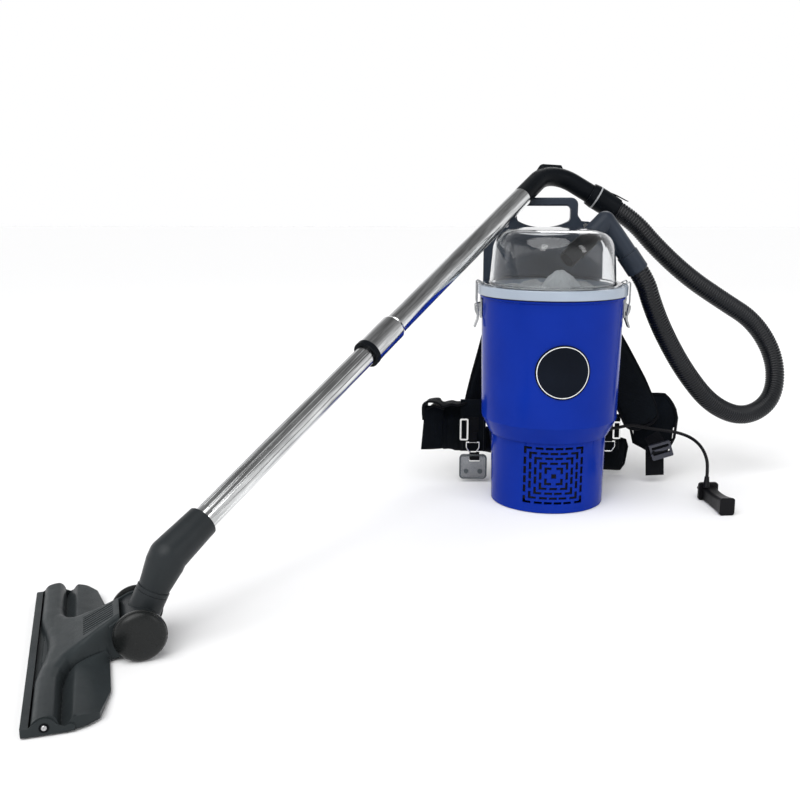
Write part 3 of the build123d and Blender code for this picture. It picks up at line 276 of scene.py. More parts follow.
# ================================================================ mesh helpers
def piece_from(name, points, faces, finish, body="root"):
    """A smooth-shaded mesh piece that rides on a body."""
    mesh = bpy.data.meshes.new(name)
    mesh.from_pydata([tuple(p) for p in points], [], faces)
    made = bpy.data.objects.new(name, mesh)
    bpy.context.scene.collection.objects.link(made)
    mesh.materials.append(finish)
    tidy = bmesh.new()
    tidy.from_mesh(mesh)
    bmesh.ops.recalc_face_normals(tidy, faces=tidy.faces)
    tidy.to_mesh(mesh)
    tidy.free()
    for polygon in mesh.polygons:
        polygon.use_smooth = True
    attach(made, body)
    return made


def loft(name, rings, finish, body="root", looped=False):
    """A skin over rings of equally many points, with its ends closed or joined in a loop."""
    count = len(rings[0])
    points = [p for ring in rings for p in ring]
    faces = []
    pairs = len(rings) if looped else len(rings) - 1
    for row in range(pairs):
        above = (row + 1) % len(rings)
        for col in range(count):
            after = (col + 1) % count
            faces.append((row * count + col, row * count + after, above * count + after,
                          above * count + col))
    if not looped:
        last = (len(rings) - 1) * count
        faces.append(tuple(reversed(range(count))))
        faces.append(tuple(range(last, last + count)))
    return piece_from(name, points, faces, finish, body)


def nurbs_line(name, points):
    """A NURBS curve object with the points as its control points."""
    data = bpy.data.curves.new(name, "CURVE")
    data.dimensions = "3D"
    data.resolution_u = 24
    spline = data.splines.new("NURBS")
    spline.points.add(len(points) - 1)
    for spot, place in zip(spline.points, points):
        spot.co = (*place, 1)
    spline.order_u = 3
    spline.use_endpoint_u = True
    made = bpy.data.objects.new(name, data)
    bpy.context.scene.collection.objects.link(made)
    return made


def even_line(points, step):
    """Points a step apart along the NURBS curve of a route, and the curve's length."""
    guide = nurbs_line("guide", points)
    guide.data.resolution_u = 64
    line = bpy.data.meshes.new_from_object(guide)
    raw = np.array([tuple(v.co) for v in line.vertices])
    bpy.data.objects.remove(guide, do_unlink=True)
    bpy.data.meshes.remove(line)
    lengths = np.concatenate([[0], np.cumsum(np.linalg.norm(np.diff(raw, axis=0), axis=1))])
    count = max(2, int(round(lengths[-1] / step)) + 1)
    marks = np.linspace(0, lengths[-1], count)
    return np.stack([np.interp(marks, lengths, raw[:, k]) for k in range(3)], axis=1), lengths[-1]


def tangents_along(line):
    tangents = np.gradient(line, axis=0)
    return tangents / np.linalg.norm(tangents, axis=1)[:, None]


def frames_along(line):
    """Two side ways at each point of a line, without any twist."""
    tangents = tangents_along(line)
    side = np.cross(tangents[0], (0, 0, 1))
    if np.linalg.norm(side) < 0.1:
        side = np.cross(tangents[0], (1, 0, 0))
    sides = []
    for tangent in tangents:
        side = side - tangent * side.dot(tangent)
        side = side / np.linalg.norm(side)
        sides.append(side)
    sides = np.array(sides)
    return sides, np.cross(tangents, sides)


def circle(place, side, up, radius, segments):
    """The points of a circle in the plane of side and up."""
    return [tuple(place + radius * (math.cos(a) * side + math.sin(a) * up))
            for a in np.linspace(0, 2 * math.pi, segments, endpoint=False)]


def tube(name, line, radii, finish, segments):
    """A round tube along a line, with a radius for each of its points."""
    sides, ups = frames_along(line)
    rings = [circle(place, side, up, radius, segments)
             for place, side, up, radius in zip(line, sides, ups, radii)]
    return loft(name, rings, finish)


BEAD_SEGMENTS = 10


def bead(name, loop, radius, finish):
    """A closed round bead along a loop of points."""
    sides, ups = frames_along(np.vstack([loop, loop[:1]]))
    rings = [circle(place, side, up, radius, BEAD_SEGMENTS) for place, side, up in zip(loop, sides, ups)]
    loft(name, rings, finish, looped=True)


def sharpen(piece, angle):
    """Smooth shading that keeps edges sharper than an angle, in degrees."""
    piece.data.set_sharp_from_angle(angle=math.radians(angle))


# ================================================================ camera, light and floor
FLOOR_REACH = 12.0
FLOOR_GAP = 0.0004
# How bright the surroundings are from straight below (0) to straight above (1).
SKY_LEVELS = ((0.0, 1.0), (0.2, 1.0), (0.42, 0.72), (0.66, 0.30), (1.0, 0.15))
# Name, place, power in watts, width and height, and the point it faces.
LAMPS = (("key", (-1.1, -2.2, 1.9), 9, (0.5, 1.5), (0.0, 0.0, 0.25)),
         ("fill", (2.0, -1.6, 1.5), 7, (0.4, 1.4), (0.0, 0.0, 0.25)),
         ("back", (0.6, 2.2, 2.2), 10, (1.2, 1.2), (0.0, 0.0, 0.3)))


def studio():
    """The camera, a pale floor, soft surroundings, an overhead sun and three lamps."""
    scene = bpy.context.scene
    camera = bpy.data.objects.new("camera", bpy.data.cameras.new("camera"))
    camera.data.lens = 45
    camera.data.sensor_width = 36
    camera.location = (-0.214, -1.741, 0.552)
    camera.rotation_euler = (math.radians(77.85), 0, math.radians(1.65))
    scene.collection.objects.link(camera)
    scene.camera = camera

    floor_mesh = bpy.data.meshes.new("floor")
    corners = [(x * FLOOR_REACH, y * FLOOR_REACH, 0) for x, y in ((-1, -1), (1, -1), (1, 1), (-1, 1))]
    floor_mesh.from_pydata(corners, [], [(0, 1, 2, 3)])
    floor = bpy.data.objects.new("floor", floor_mesh)
    floor.location.z = -FLOOR_GAP
    scene.collection.objects.link(floor)
    pale, _, _ = shader("pale_floor", (0.90, 0.90, 0.90), 0.95)
    floor_mesh.materials.append(pale)

    world = bpy.data.worlds.new("studio")
    scene.world = world
    world.use_nodes = True
    tree = world.node_tree
    place = tree.nodes.new("ShaderNodeTexCoord")
    split = tree.nodes.new("ShaderNodeSeparateXYZ")
    tree.links.new(place.outputs["Generated"], split.inputs["Vector"])
    sky = tree.nodes.new("ShaderNodeValToRGB")
    for _ in SKY_LEVELS[2:]:
        sky.color_ramp.elements.new(0.5)
    for element, (height, bright) in zip(sky.color_ramp.elements, SKY_LEVELS):
        element.position = height
        element.color = (bright, bright, bright * 1.01, 1)
    tree.links.new(split.outputs["Z"], sky.inputs["Fac"])
    background = tree.nodes["Background"]
    tree.links.new(sky.outputs["Color"], background.inputs["Color"])
    background.inputs["Strength"].default_value = 1.0
    scene.view_settings.view_transform = "Standard"

    sun = bpy.data.lights.new("overhead", "SUN")
    sun.energy = 2.55
    sun.angle = math.radians(65)
    above = bpy.data.objects.new("overhead", sun)
    above.rotation_euler = (math.radians(28), math.radians(-14), 0)
    scene.collection.objects.link(above)

    for name, place_at, power, size, target in LAMPS:
        light = bpy.data.lights.new(name, "AREA")
        light.energy = power
        light.shape = "RECTANGLE"
        light.size, light.size_y = size
        lamp = bpy.data.objects.new(name, light)
        lamp.location = place_at
        lamp.rotation_euler = (Vector(target) - Vector(place_at)).to_track_quat("-Z", "Y").to_euler()
        scene.collection.objects.link(lamp)


studio()

# ================================================================ hose and lead
cuff_end = mm(137, 184, 506)
GRIP_BEND_AT = 104 * MM
grip_corner = neck_corner + wand_dir * (wand_len + GRIP_BEND_AT)
grip_out = (cuff_end - grip_corner).normalized()
elbow_seam, elbow_end = mm(136.3, 60, 433.5), mm(158.6, 62, 402.5)
seam_dir = (elbow_end - elbow_seam).normalized()
HOSE_R = 18 * MM
RIB_SPACING, POINTS_PER_RIB = 5.2 * MM, 7
VALLEY = 0.91           # the hose's radius between two ribs, as a share of its radius on a rib
hose_points = [cuff_end, cuff_end + grip_out * 38 * MM, mm(216, 187, 436), mm(282, 196, 379),
               mm(352, 208, 334), mm(424, 219, 290), mm(470, 220, 214), mm(464, 202, 138),
               mm(402, 172, 108), mm(326, 137, 140), mm(262, 104, 212), mm(214, 84, 288),
               mm(186, 69, 346), elbow_end + seam_dir * 26 * MM, elbow_end]


def make_hose():
    """A corrugated hose: rounded ribs with narrow valleys between them."""
    line, length = even_line(hose_points, RIB_SPACING / POINTS_PER_RIB)
    radii = []
    for index in range(len(line)):
        phase = (index / POINTS_PER_RIB) % 1.0
        crest = abs(math.sin(math.pi * phase)) ** 0.7
        radii.append(HOSE_R * (VALLEY + (1 - VALLEY) * crest))
    hose = tube("ribbed_hose", line, radii, ribbed, 40)
    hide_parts("hose")


gland_out = Vector((0.906, 0.423, 0)).normalized()
LEAD_R, LEAD_LENGTH = 2.9 * MM, 0.241


def make_lead():
    """The short mains lead, from its gland to the plug on the floor."""
    start = Vector((122.5 * MM, 57.2 * MM, 113.5 * MM))
    lead_points = [start, start + gland_out * 16 * MM, mm(163, 72, 118), mm(195, 74, 110),
                   mm(225, 71, 107), mm(250, 61, 105), mm(270, 43, 99), mm(281, 20, 88), mm(285, 1, 73),
                   mm(284.5, -9, 59), mm(283, -14, 44)]
    lead = nurbs_line("mains_lead", lead_points)
    lead.data.bevel_depth = LEAD_R
    lead.data.bevel_resolution = 6
    lead.data.resolution_u = 16
    lead.data.materials.append(rubber)
    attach(lead, "root")
    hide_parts("power_lead")


def make_cuff_clip():
    """The thin spring tab on the hose cuff's upper side."""
    rise = (Vector((0, 0, 1)) - grip_out * grip_out.z).normalized()
    across = grip_out.cross(rise)
    rings = []
    sections = ((-26, 20.5, 2.4, 9), (-14, 22.4, 2.2, 9), (-2, 23.2, 1.9, 8.6), (6, 23.6, 1.7, 8),
                (11, 24.4, 1.5, 7))
    outline = ((-1, -0.6), (-0.8, -1), (0.8, -1), (1, -0.6), (1, 0.6), (0.8, 1), (-0.8, 1), (-1, 0.6))
    for run, lift, thick, wide in sections:
        centre = cuff_end + grip_out * run * MM + rise * lift * MM
        rings.append([tuple(centre + (across * u * wide / 2 + rise * v * thick / 2) * MM)
                      for u, v in outline])
    clip = loft("cuff_clip", rings, black, "hose_cuff")
    sharpen(clip, 40)


make_hose()
make_lead()
make_cuff_clip()


# ================================================================ soft goods
SEED = 7
PAD_STEP, WEBBING_STEP = 6 * MM, 3 * MM     # spacing of cross-sections along a pad and a webbing
SECTION_POINTS = 56
FACE_POWER = 2.2                            # how full a pad's face is; its edges have their own power
VOXEL, PRESSURE = 4 * MM, 4.0
SIM_FRAMES = 20
SEAM_DEPTH, SEAM_WIDTH = 1.6 * MM, 3.5 * MM
BINDING_R, BINDING_INSET = 2.7 * MM, 3.7 * MM
STITCH_PITCH, STITCH_R, STITCH_SIDES = 3.4 * MM, 0.33 * MM, 6
STITCH_OUT = np.array((0, -1, 0), float)


def outline_ring(centre, across, normal, half_w, half_t, power):
    """A rounded cross-section: flat faces, full edges."""
    ring = []
    for angle in np.linspace(0, 2 * math.pi, SECTION_POINTS, endpoint=False):
        c, s = math.cos(angle), math.sin(angle)
        u = math.copysign(abs(c) ** (2 / power), c) * half_w
        v = math.copysign(abs(s) ** (2 / FACE_POWER), s) * half_t
        ring.append(tuple(centre + across * u + normal * v))
    return ring


def turned(turn, tangent):
    """The way across a band nearest to turn, and the way out of its face."""
    across = np.array(turn, float)
    across = across - tangent * across.dot(tangent)
    across /= np.linalg.norm(across)
    return across, np.cross(tangent, across)


def soft_stations(route, widths, thicks, turn, round_off):
    """Centre, across, normal, half width and half thickness along a strap or pad."""
    line, length = even_line([mm(*p) for p in route], PAD_STEP)
    tangents = tangents_along(line)
    share = np.linspace(0, 1, len(line))
    wide = np.interp(share, np.linspace(0, 1, len(widths)), widths) * MM / 2
    thick = np.interp(share, np.linspace(0, 1, len(thicks)), thicks) * MM / 2
    stations = []
    for index, place in enumerate(line):
        across, normal = turned(turn, tangents[index])
        ease = 1.0
        for end, rounded in zip((share[index], 1 - share[index]), round_off):
            near = min(1.0, (end * length + 0.6 * MM) / (wide[index] * 0.55 * max(rounded, 0.01)))
            if rounded:
                ease *= math.sqrt(1 - (1 - near) ** 2)
        stations.append((place, across, normal, wide[index] * (0.35 + 0.65 * ease), thick[index] * ease))
    return stations


def inflate(piece, cap):
    """Voxel remesh, then a short cloth simulation under pressure, capped, applied and smoothed.
"""
    scene = bpy.context.scene
    remesh = piece.modifiers.new("remesh", "REMESH")
    remesh.mode = "VOXEL"
    remesh.voxel_size = VOXEL
    depsgraph = bpy.context.evaluated_depsgraph_get()
    mesh = bpy.data.meshes.new_from_object(piece.evaluated_get(depsgraph))
    piece.modifiers.clear()
    piece.data = mesh
    count = len(mesh.vertices)
    start = np.empty(count * 3)
    mesh.vertices.foreach_get("co", start)
    start = start.reshape(-1, 3)
    sim = piece.modifiers.new("cloth", "CLOTH")
    sim.settings.quality = 5
    sim.settings.mass = 0.3
    sim.settings.use_pressure = True
    sim.settings.uniform_pressure_force = PRESSURE
    sim.settings.effector_weights.gravity = 0
    sim.settings.tension_stiffness = 25
    sim.settings.compression_stiffness = 25
    sim.settings.bending_stiffness = 0.6
    sim.point_cache.frame_start = 1
    sim.point_cache.frame_end = SIM_FRAMES
    for step in range(1, SIM_FRAMES + 1):
        scene.frame_set(step)
    depsgraph = bpy.context.evaluated_depsgraph_get()
    settled = piece.evaluated_get(depsgraph).data
    moved = np.empty(count * 3)
    settled.vertices.foreach_get("co", moved)
    shift = moved.reshape(-1, 3) - start
    size = np.linalg.norm(shift, axis=1)[:, None]
    shift *= np.minimum(1.0, cap / np.maximum(size, 1e-9))
    piece.modifiers.clear()
    scene.frame_set(1)
    mesh.vertices.foreach_set("co", (start + shift).ravel())
    smooth_out(mesh, 2)
    for polygon in mesh.polygons:
        polygon.use_smooth = True


def smooth_out(mesh, rounds):
    """Move every vertex halfway to its neighbours' middle, a number of rounds."""
    work = bmesh.new()
    work.from_mesh(mesh)
    for _ in range(rounds):
        bmesh.ops.smooth_vert(work, verts=work.verts, factor=0.5, use_axis_x=True, use_axis_y=True,
                              use_axis_z=True)
    work.to_mesh(mesh)
    work.free()


def rumple(piece, amount, scale, stretch, seams):
    """Wrinkles along the normals, and sewn channels where a seam's distance is small."""
    mesh = piece.data
    for vertex in mesh.vertices:
        place = vertex.co
        sample = Vector((place.x * stretch[0], place.y * stretch[1], place.z * stretch[2])) * scale
        shift = noise.fractal(sample + Vector((SEED, 0, 0)), 0.9, 2.1, 3) * amount
        for seam in seams:
            near = abs(seam(place)) / SEAM_WIDTH
            if near < 1:
                shift -= SEAM_DEPTH * (0.5 + 0.5 * math.cos(math.pi * near))
        vertex.co = place + vertex.normal * shift
    mesh.update()


def finish_soft(piece):
    """One round of subdivision."""
    smooth = piece.modifiers.new("smooth", "SUBSURF")
    smooth.levels = 1
    smooth.render_levels = 1


def binding(name, stations):
    """A sewn tape bead all round a pad's edge."""
    left = [centre + across * (half_w - BINDING_INSET) for centre, across, _, half_w, _ in stations]
    right = [centre - across * (half_w - BINDING_INSET) for centre, across, _, half_w, _ in stations]
    loop = np.array(left + right[::-1] + left[:1])
    keep = [loop[0]]
    for place in loop[1:]:
        if np.linalg.norm(place - keep[-1]) > 4 * MM:
            keep.append(place)
    bead(name, np.array(keep), BINDING_R, webbing)


def soft_bar(name, route, widths, thicks, turn, finish, power, cap, seams=(),
             wrinkle=(1.0 * MM, 30), stretch=(1, 1, 1), round_off=(1, 1), bind=True):
    """A pad or strap along a route: puffed up, wrinkled, sewn and bound at its edge."""
    stations = soft_stations(route, widths, thicks, turn, round_off)
    rings = [outline_ring(*station, power) for station in stations]
    piece = loft(name, rings, finish)
    inflate(piece, cap)
    rumple(piece, wrinkle[0], wrinkle[1], stretch, seams)
    finish_soft(piece)
    if bind:
        binding(name + "_binding", stations)
    return piece


def ribbon(name, route, width, thick, turn, finish=webbing):
    """Flat webbing that follows a route; turn is the way across it."""
    line, _ = even_line([mm(*p) for p in route], WEBBING_STEP)
    edge = thick / 2
    profile = [(-width / 2, -edge * 0.5), (-width / 2 + edge, -edge), (-width / 6, -edge),
               (width / 6, -edge), (width / 2 - edge, -edge), (width / 2, -edge * 0.5),
               (width / 2, edge * 0.5), (width / 2 - edge, edge), (width / 6, edge), (-width / 6, edge),
               (-width / 2 + edge, edge), (-width / 2, edge * 0.5)]
    rings = []
    for place, tangent in zip(line, tangents_along(line)):
        across, normal = turned(turn, tangent)
        rings.append([tuple(place + across * u * MM + normal * v * MM) for u, v in profile])
    return loft(name, rings, finish)


thread = plastic("sewing_thread", (0.030, 0.030, 0.034), 0.6, 0.1)


def stitches(name, paths):
    """Rows of short raised stitches along paths on a face towards the front."""
    points, faces = [], []
    for path in paths:
        line = np.array([tuple(mm(*p)) for p in path])
        lengths = np.concatenate([[0], np.cumsum(np.linalg.norm(np.diff(line, axis=0), axis=1))])
        for mark in np.arange(STITCH_PITCH / 2, lengths[-1], STITCH_PITCH):
            ends = []
            for d in (mark - STITCH_PITCH * 0.33, mark + STITCH_PITCH * 0.33):
                ends.append(np.array([np.interp(d, lengths, line[:, k]) for k in range(3)]))
            along = ends[1] - ends[0]
            along /= max(np.linalg.norm(along), 1e-9)
            side = np.cross(along, STITCH_OUT)
            base = len(points)
            for t, grow in ((0, 0.35), (0.25, 1), (0.75, 1), (1, 0.35)):
                centre = ends[0] * (1 - t) + ends[1] * t
                points += circle(centre, side, STITCH_OUT, STITCH_R * grow, STITCH_SIDES)
            for row in range(3):
                here, above = base + row * STITCH_SIDES, base + (row + 1) * STITCH_SIDES
                for col in range(STITCH_SIDES):
                    after = (col + 1) % STITCH_SIDES
                    faces.append((here + col, here + after, above + after, above + col))
            faces.append(tuple(reversed(range(base, base + STITCH_SIDES))))
            last = base + 3 * STITCH_SIDES
            faces.append(tuple(range(last, last + STITCH_SIDES)))
    piece_from(name, points, faces, thread)


def make_back_pads():
    """The back pad with sewn channels, and the lumbar pad below it."""
    def channel(z):
        return lambda p: p.z - z * MM

    route = [(0, 151, 104), (0, 151, 190), (0, 151, 300), (0, 151, 396)]
    pad = soft_bar("back_pad", route, [112, 116, 116, 108], [15, 15, 15, 14], (1, 0, 0), mesh_cloth,
                   4.5, 3 * MM, [channel(z) for z in (176, 250, 324)])
    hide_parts("back_pads")
    route = [(-122, 151, 70), (-40, 151, 62), (60, 151, 54), (170, 151, 38)]
    lumbar = soft_bar("lumbar_pad", route, [48, 68, 84, 66], [15, 15, 15, 13], (0, 0, 1), nylon,
                      4.5, 3 * MM, [lambda p: p.x - 24 * MM], round_off=(1, 0.3))
    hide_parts("back_pads")


def make_wings():
    """Hip wings: folded nylon with a rolled belt sleeve at the left one's tip."""
    left = [(-131, 128, 98), (-158, 122, 98), (-184, 111, 101), (-205, 99, 104), (-216, 88, 106)]
    wing = soft_bar("hip_wing_left", left, [100, 98, 92, 86, 80], [11, 12, 12, 12, 9], (0, 0, 1), nylon,
                    3.6, 4 * MM, [lambda p: p.x + 176 * MM, lambda p: p.x + 205 * MM],
                    (1.8 * MM, 26), (1.6, 1, 0.5), round_off=(0, 0.4), bind=False)
    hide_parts("hip_wings")
    right = [(175, 146, 100), (204, 136, 108), (234, 120, 106), (252, 104, 104)]
    wing = soft_bar("hip_wing_right", right, [80, 116, 126, 96], [11, 12, 11, 9], (0, 0, 1), nylon,
                    3.0, 4 * MM, [lambda p: p.z - 104 * MM], (1.4 * MM, 24), (1, 1, 0.7),
                    round_off=(0, 1))
    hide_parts("hip_wings")
    ribbon("belt_roll_left", [(-219, 87, 124), (-221, 86, 148), (-217, 85, 156), (-206, 87, 158),
                              (-194, 90, 156), (-186, 94, 149), (-170, 100, 151), (-157, 104, 148),
                              (-146, 108, 150)], 28, 4.6, (0.35, 1, 0))
    ribbon("belt_roll_inner", [(-217, 87, 140), (-207, 89, 147), (-198, 92, 148), (-187, 96, 144)], 26, 4.0,
           (0.35, 1, 0))
    ribbon("belt_sleeve_left", [(-223, 77, 108), (-214, 82, 107), (-200, 91, 105), (-186, 99, 104)],
           84, 1.8, (0, 0, 1), nylon)


def make_straps():
    """Padded shoulder straps with bound edges."""
    left = [(-60, 183, 396), (-68, 181, 330), (-94, 164, 240), (-119, 150, 164), (-128, 147, 128)]
    strap = soft_bar("shoulder_strap_left", left, [56, 56, 58, 52, 44], [10, 10, 10, 9, 8], (1, 0.4, 0),
                     nylon, 3.4, 3 * MM, wrinkle=(0.8 * MM, 26), round_off=(0.5, 0.5))
    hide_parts("shoulder_straps")
    right = [(60, 183, 396), (76, 181, 345), (122, 152, 272), (160, 129, 188), (196, 108, 106)]
    strap = soft_bar("shoulder_strap_right", right, [56, 58, 66, 78, 76], [10, 10, 10, 10, 9],
                     (0.93, 0.2, 0.35), nylon, 3.2, 3 * MM, wrinkle=(0.9 * MM, 24),
                     round_off=(0.5, 1))
    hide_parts("shoulder_straps")


def make_webbing():
    """Side panels, ring tabs, the belt plate's tongue and the right strap's tail."""
    for tag, x, y, high, width in (("left", -129, 98.2, 158, 48), ("right", 128, 113.2, 128, 44)):
        ribbon(f"side_panel_{tag}", [(x, y, 58), (x, y, 84), (x, y, 106), (x, y, high)],
                             width, 2.4, (1, 0, 0), nylon)
        ribbon(f"ring_tab_{tag}", [(x, y - 2.2, 96), (x, y - 3.4, 84), (x, y - 6.4, 77.6),
                                   (x, y - 4.6, 73.6), (x, y - 1.6, 75), (x, y - 1.4, 84)], 15, 1.1,
               (1, 0, 0))
        ribbon(f"loop_tab_{tag}", [(x - 2, y - 2.0, 124), (x - 2, y - 2.4, 110), (x - 2, y - 2.0, 96)], 26,
               1.4, (1, 0, 0))
    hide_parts("webbings")
    ribbon("plate_tongue", [(-126, 94.6, 57), (-126, 94.4, 48), (-126, 90, 43), (-126, 84.6, 43.6),
                            (-126, 84.2, 50)], 19, 2.6, (1, 0, 0))
    ribbon("strap_tail", [(212, 91.2, 72), (213, 91.4, 52), (214, 91.6, 34), (215, 91.2, 15.2)], 34, 1.8,
           (1, 0, 0.04))
    ribbon("lock_webbing", [(206, 99, 92), (212, 92, 84), (219, 80.5, 70), (221, 78.6, 64), (217, 84, 58),
                            (214, 90, 50)], 30, 1.5, (0.95, 0, 0.3))
    rows = []
    for x, y in ((-129, 96.6), (128, 111.6)):
        for edge in (-20, 20):
            rows.append([(x + edge, y, 60), (x + edge, y, 124)])
    stitches("panel_stitching", rows)


make_back_pads()
make_wings()
make_straps()
make_webbing()


# ================================================================ floor head
HEAD_AT = mm(-685, -658, 0)
HEAD_X = Vector((0.948, 0.317, 0)).normalized()
HEAD_Y = Vector((-HEAD_X.y, HEAD_X.x, 0))
AXLE_X, AXLE_Z, LIP_HALF = 127.0, 32.0, 182.0
RIB_PITCH, RIB_DEPTH, RIB_START, RIB_STOP = 6.3, 3.2, 64, 98     # ribs on the web, in x
LIP_FRONT, SHELF_END = 8.6, 10.8                                 # the low shelf behind the lip, in x
SOLE_Z, TOP_LEAST, TOP_MOST = 3.0, 4.4, 57.3
SLOT_START, SLOT_STOP, SLOT_HALF, SLOT_Z = 15, 33, 163, 8.5      # the suction slot in the underside
DRUM_ROOM_R, DRUM_ROOM_START, DRUM_ROOM_HALF = 26.9, 100.2, 29.3    # the hollow that the drum turns in
GROOVE_SHADE_FROM = 0.3                                               # deeper grooves get the darker material, as painted shade


def on_head(x, y, z):
    """A place in the head's own frame, in millimetres: x back from the lip, y along it."""
    return HEAD_AT + (HEAD_X * x + HEAD_Y * y) * MM + Vector((0, 0, z * MM))


def lathe(name, origin, axis, profile, finish, body="root", segments=48):
    """A turned piece from (distance along the axis, radius) points in millimetres."""
    axis = Vector(axis).normalized()
    side = axis.orthogonal().normalized()
    up = axis.cross(side)
    rings = []
    for run, radius in profile:
        radius = max(radius, 0.02)
        rings.append([tuple(origin + axis * run * MM + (side * math.cos(a) + up * math.sin(a)) * radius * MM)
                      for a in np.linspace(0, 2 * math.pi, segments, endpoint=False)])
    return loft(name, rings, finish, body)


def smooth_max(a, b, blend_by):
    """The higher of two surfaces, blended where they meet."""
    share = np.clip(0.5 + 0.5 * (a - b) / blend_by, 0, 1)
    return b * (1 - share) + a * share + blend_by * share * (1 - share)


# Plan outline of the rolled part as (x, distance from the middle): its rear edge and its front edge.
HALF_OUTLINE = [(39, 200), (39, 96), (41.5, 76), (49, 60), (64, 47), (82, 37), (100, 31), (125, 29.5)]
FRONT = [(9, 200), (9, 88), (11, 70), (16, 40), (19, 14), (19.5, 0)]


def edge_distance(x, y):
    """How far inside the rolled part's plan outline a place is; negative outside."""
    best = np.full(x.shape, 99.0)
    side = np.abs(y)
    for line in (HALF_OUTLINE, FRONT):
        line = np.array(line, float)
        for start, end in zip(line[:-1], line[1:]):
            run = end - start
            share = np.clip(((x - start[0]) * run[0] + (side - start[1]) * run[1]) / (run @ run), 0, 1)
            off = np.hypot(x - start[0] - share * run[0], side - start[1] - share * run[1])
            best = np.minimum(best, off)
    rear = np.array(HALF_OUTLINE[1:])
    front = np.array(FRONT[::-1])
    inside = (x > np.interp(side, front[:, 1], front[:, 0])) & (
        (x < HALF_OUTLINE[0][0]) | (side < np.interp(x, rear[:, 0], rear[:, 1])))
    return np.where(inside, best, -best)


def head_top(x, y):
    """The nozzle body's upper surface: two rolls along the lip that sweep back into the duct."""
    level = np.interp(x, [20, 27, 36, 52, 72, 104], [21, 22, 24.5, 30, 39.5, 56])
    rounding = np.interp(x, [24, 50, 70, 104], [15, 16, 10, 7])
    depth = np.clip(edge_distance(x, y) / rounding, 0, 1)
    roll = level * (1 - (1 - depth) ** 2.5) ** (1 / 2.5)
    crest = 55 + 32 * np.clip((66 - np.abs(y)) / 30, 0, 1) ** 1.6
    behind = np.clip((x - crest) / np.maximum(92 - crest, 8), 0, 1)
    ridge = np.where(x < crest, 4.5 + 12.5 * np.exp(-((x - crest) / 8.5) ** 2),
                     4.5 + 12.5 * np.cos(behind * math.pi / 2) ** 1.2)
    return smooth_max(roll, ridge, 2.2)


def make_nozzle():
    """The nozzle body as one closed skin, its underside open at the suction slot."""
    fine = np.linspace(-26.5, 26.5, 150)
    outer = np.concatenate([np.linspace(27.3, 40, 14), np.linspace(41.5, LIP_HALF, 84)])
    rows = np.concatenate([-outer[::-1], fine, outer])
    cols = np.linspace(0, 1, 74)
    back_y = [0, 29, 34, 112, 168, 178, 182]
    back_x = [105, 105, 91, 91, 79, 66, 55]
    x_back = np.interp(np.abs(rows), back_y, back_x)
    x = LIP_FRONT + (x_back - LIP_FRONT)[:, None] * cols[None, :]
    y = np.repeat(rows[:, None], len(cols), axis=1)
    top = head_top(x, y)
    ribs = (np.abs(y) < 25.5 - (x - RIB_START) * 0.09) & (x > RIB_START) & (x < RIB_STOP)
    groove = np.clip(0.3 + 1.6 * np.cos(2 * math.pi * y / RIB_PITCH), 0, 1)
    top = np.minimum(top, TOP_MOST) - np.where(ribs, RIB_DEPTH * groove, 0)
    shelf = np.clip((x - LIP_FRONT) / 2.2, 0.15, 1) ** 0.5
    top = np.minimum(top, 11.0 + np.clip(x - LIP_FRONT, 0, 40) * 1.9) * np.where(x < SHELF_END, shelf, 1)
    top = np.maximum(top, TOP_LEAST)
    slot_here = (x > SLOT_START) & (x < SLOT_STOP) & (np.abs(y) < SLOT_HALF)
    bottom = np.where(slot_here, SLOT_Z, SOLE_Z)
    room = np.sqrt(np.clip(DRUM_ROOM_R ** 2 - (x - AXLE_X) ** 2, 0, None)) + AXLE_Z
    drum_here = (x > DRUM_ROOM_START) & (np.abs(y) < DRUM_ROOM_HALF)
    bottom = np.where(drum_here, np.minimum(room, top - 2), bottom)
    count_r, count_c = x.shape
    points = [tuple(on_head(*p)) for p in zip(x.ravel(), y.ravel(), top.ravel())]
    points += [tuple(on_head(*p)) for p in zip(x.ravel(), y.ravel(), bottom.ravel())]
    faces, under = [], count_r * count_c
    for r in range(count_r - 1):
        for c in range(count_c - 1):
            a, b = r * count_c + c, (r + 1) * count_c + c
            faces.append((a, a + 1, b + 1, b))
            faces.append((under + a, under + b, under + b + 1, under + a + 1))
    for r in range(count_r - 1):
        for c in (0, count_c - 1):
            a, b = r * count_c + c, (r + 1) * count_c + c
            faces.append((a, b, under + b, under + a))
    for c in range(count_c - 1):
        for r in (0, count_r - 1):
            a = r * count_c + c
            faces.append((a, a + 1, under + a + 1, under + a))
    body = piece_from("nozzle_body", points, faces, satin, "head")
    # The deepest groove faces take the darker material: painted shade in the ribs' grooves.
    body.data.materials.append(painted_groove_shade)
    deep = (ribs & (groove > GROOVE_SHADE_FROM)).ravel()
    for polygon in body.data.polygons:
        if all(index < under and deep[index] for index in polygon.vertices):
            polygon.material_index = 1
    sharpen(body, 50)
    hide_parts("head_body")


PLATE_BEVEL = 0.7


def outline_plate(name, outline, low, high, finish, body):
    """A flat plate across the head's y: an (x, z) outline from y low to high, edges eased."""
    middle = np.mean(np.array(outline, float), axis=0)
    size = np.max(np.abs(np.array(outline) - middle))
    inward = 1 - PLATE_BEVEL / size
    rings = []
    for y, grow in ((low, inward), (low + PLATE_BEVEL, 1), (high - PLATE_BEVEL, 1), (high, inward)):
        rings.append([tuple(on_head(middle[0] + (px - middle[0]) * grow, y,
                                    middle[1] + (pz - middle[1]) * grow)) for px, pz in outline])
    made = loft(name, rings, finish, body)
    sharpen(made, 35)
    return made


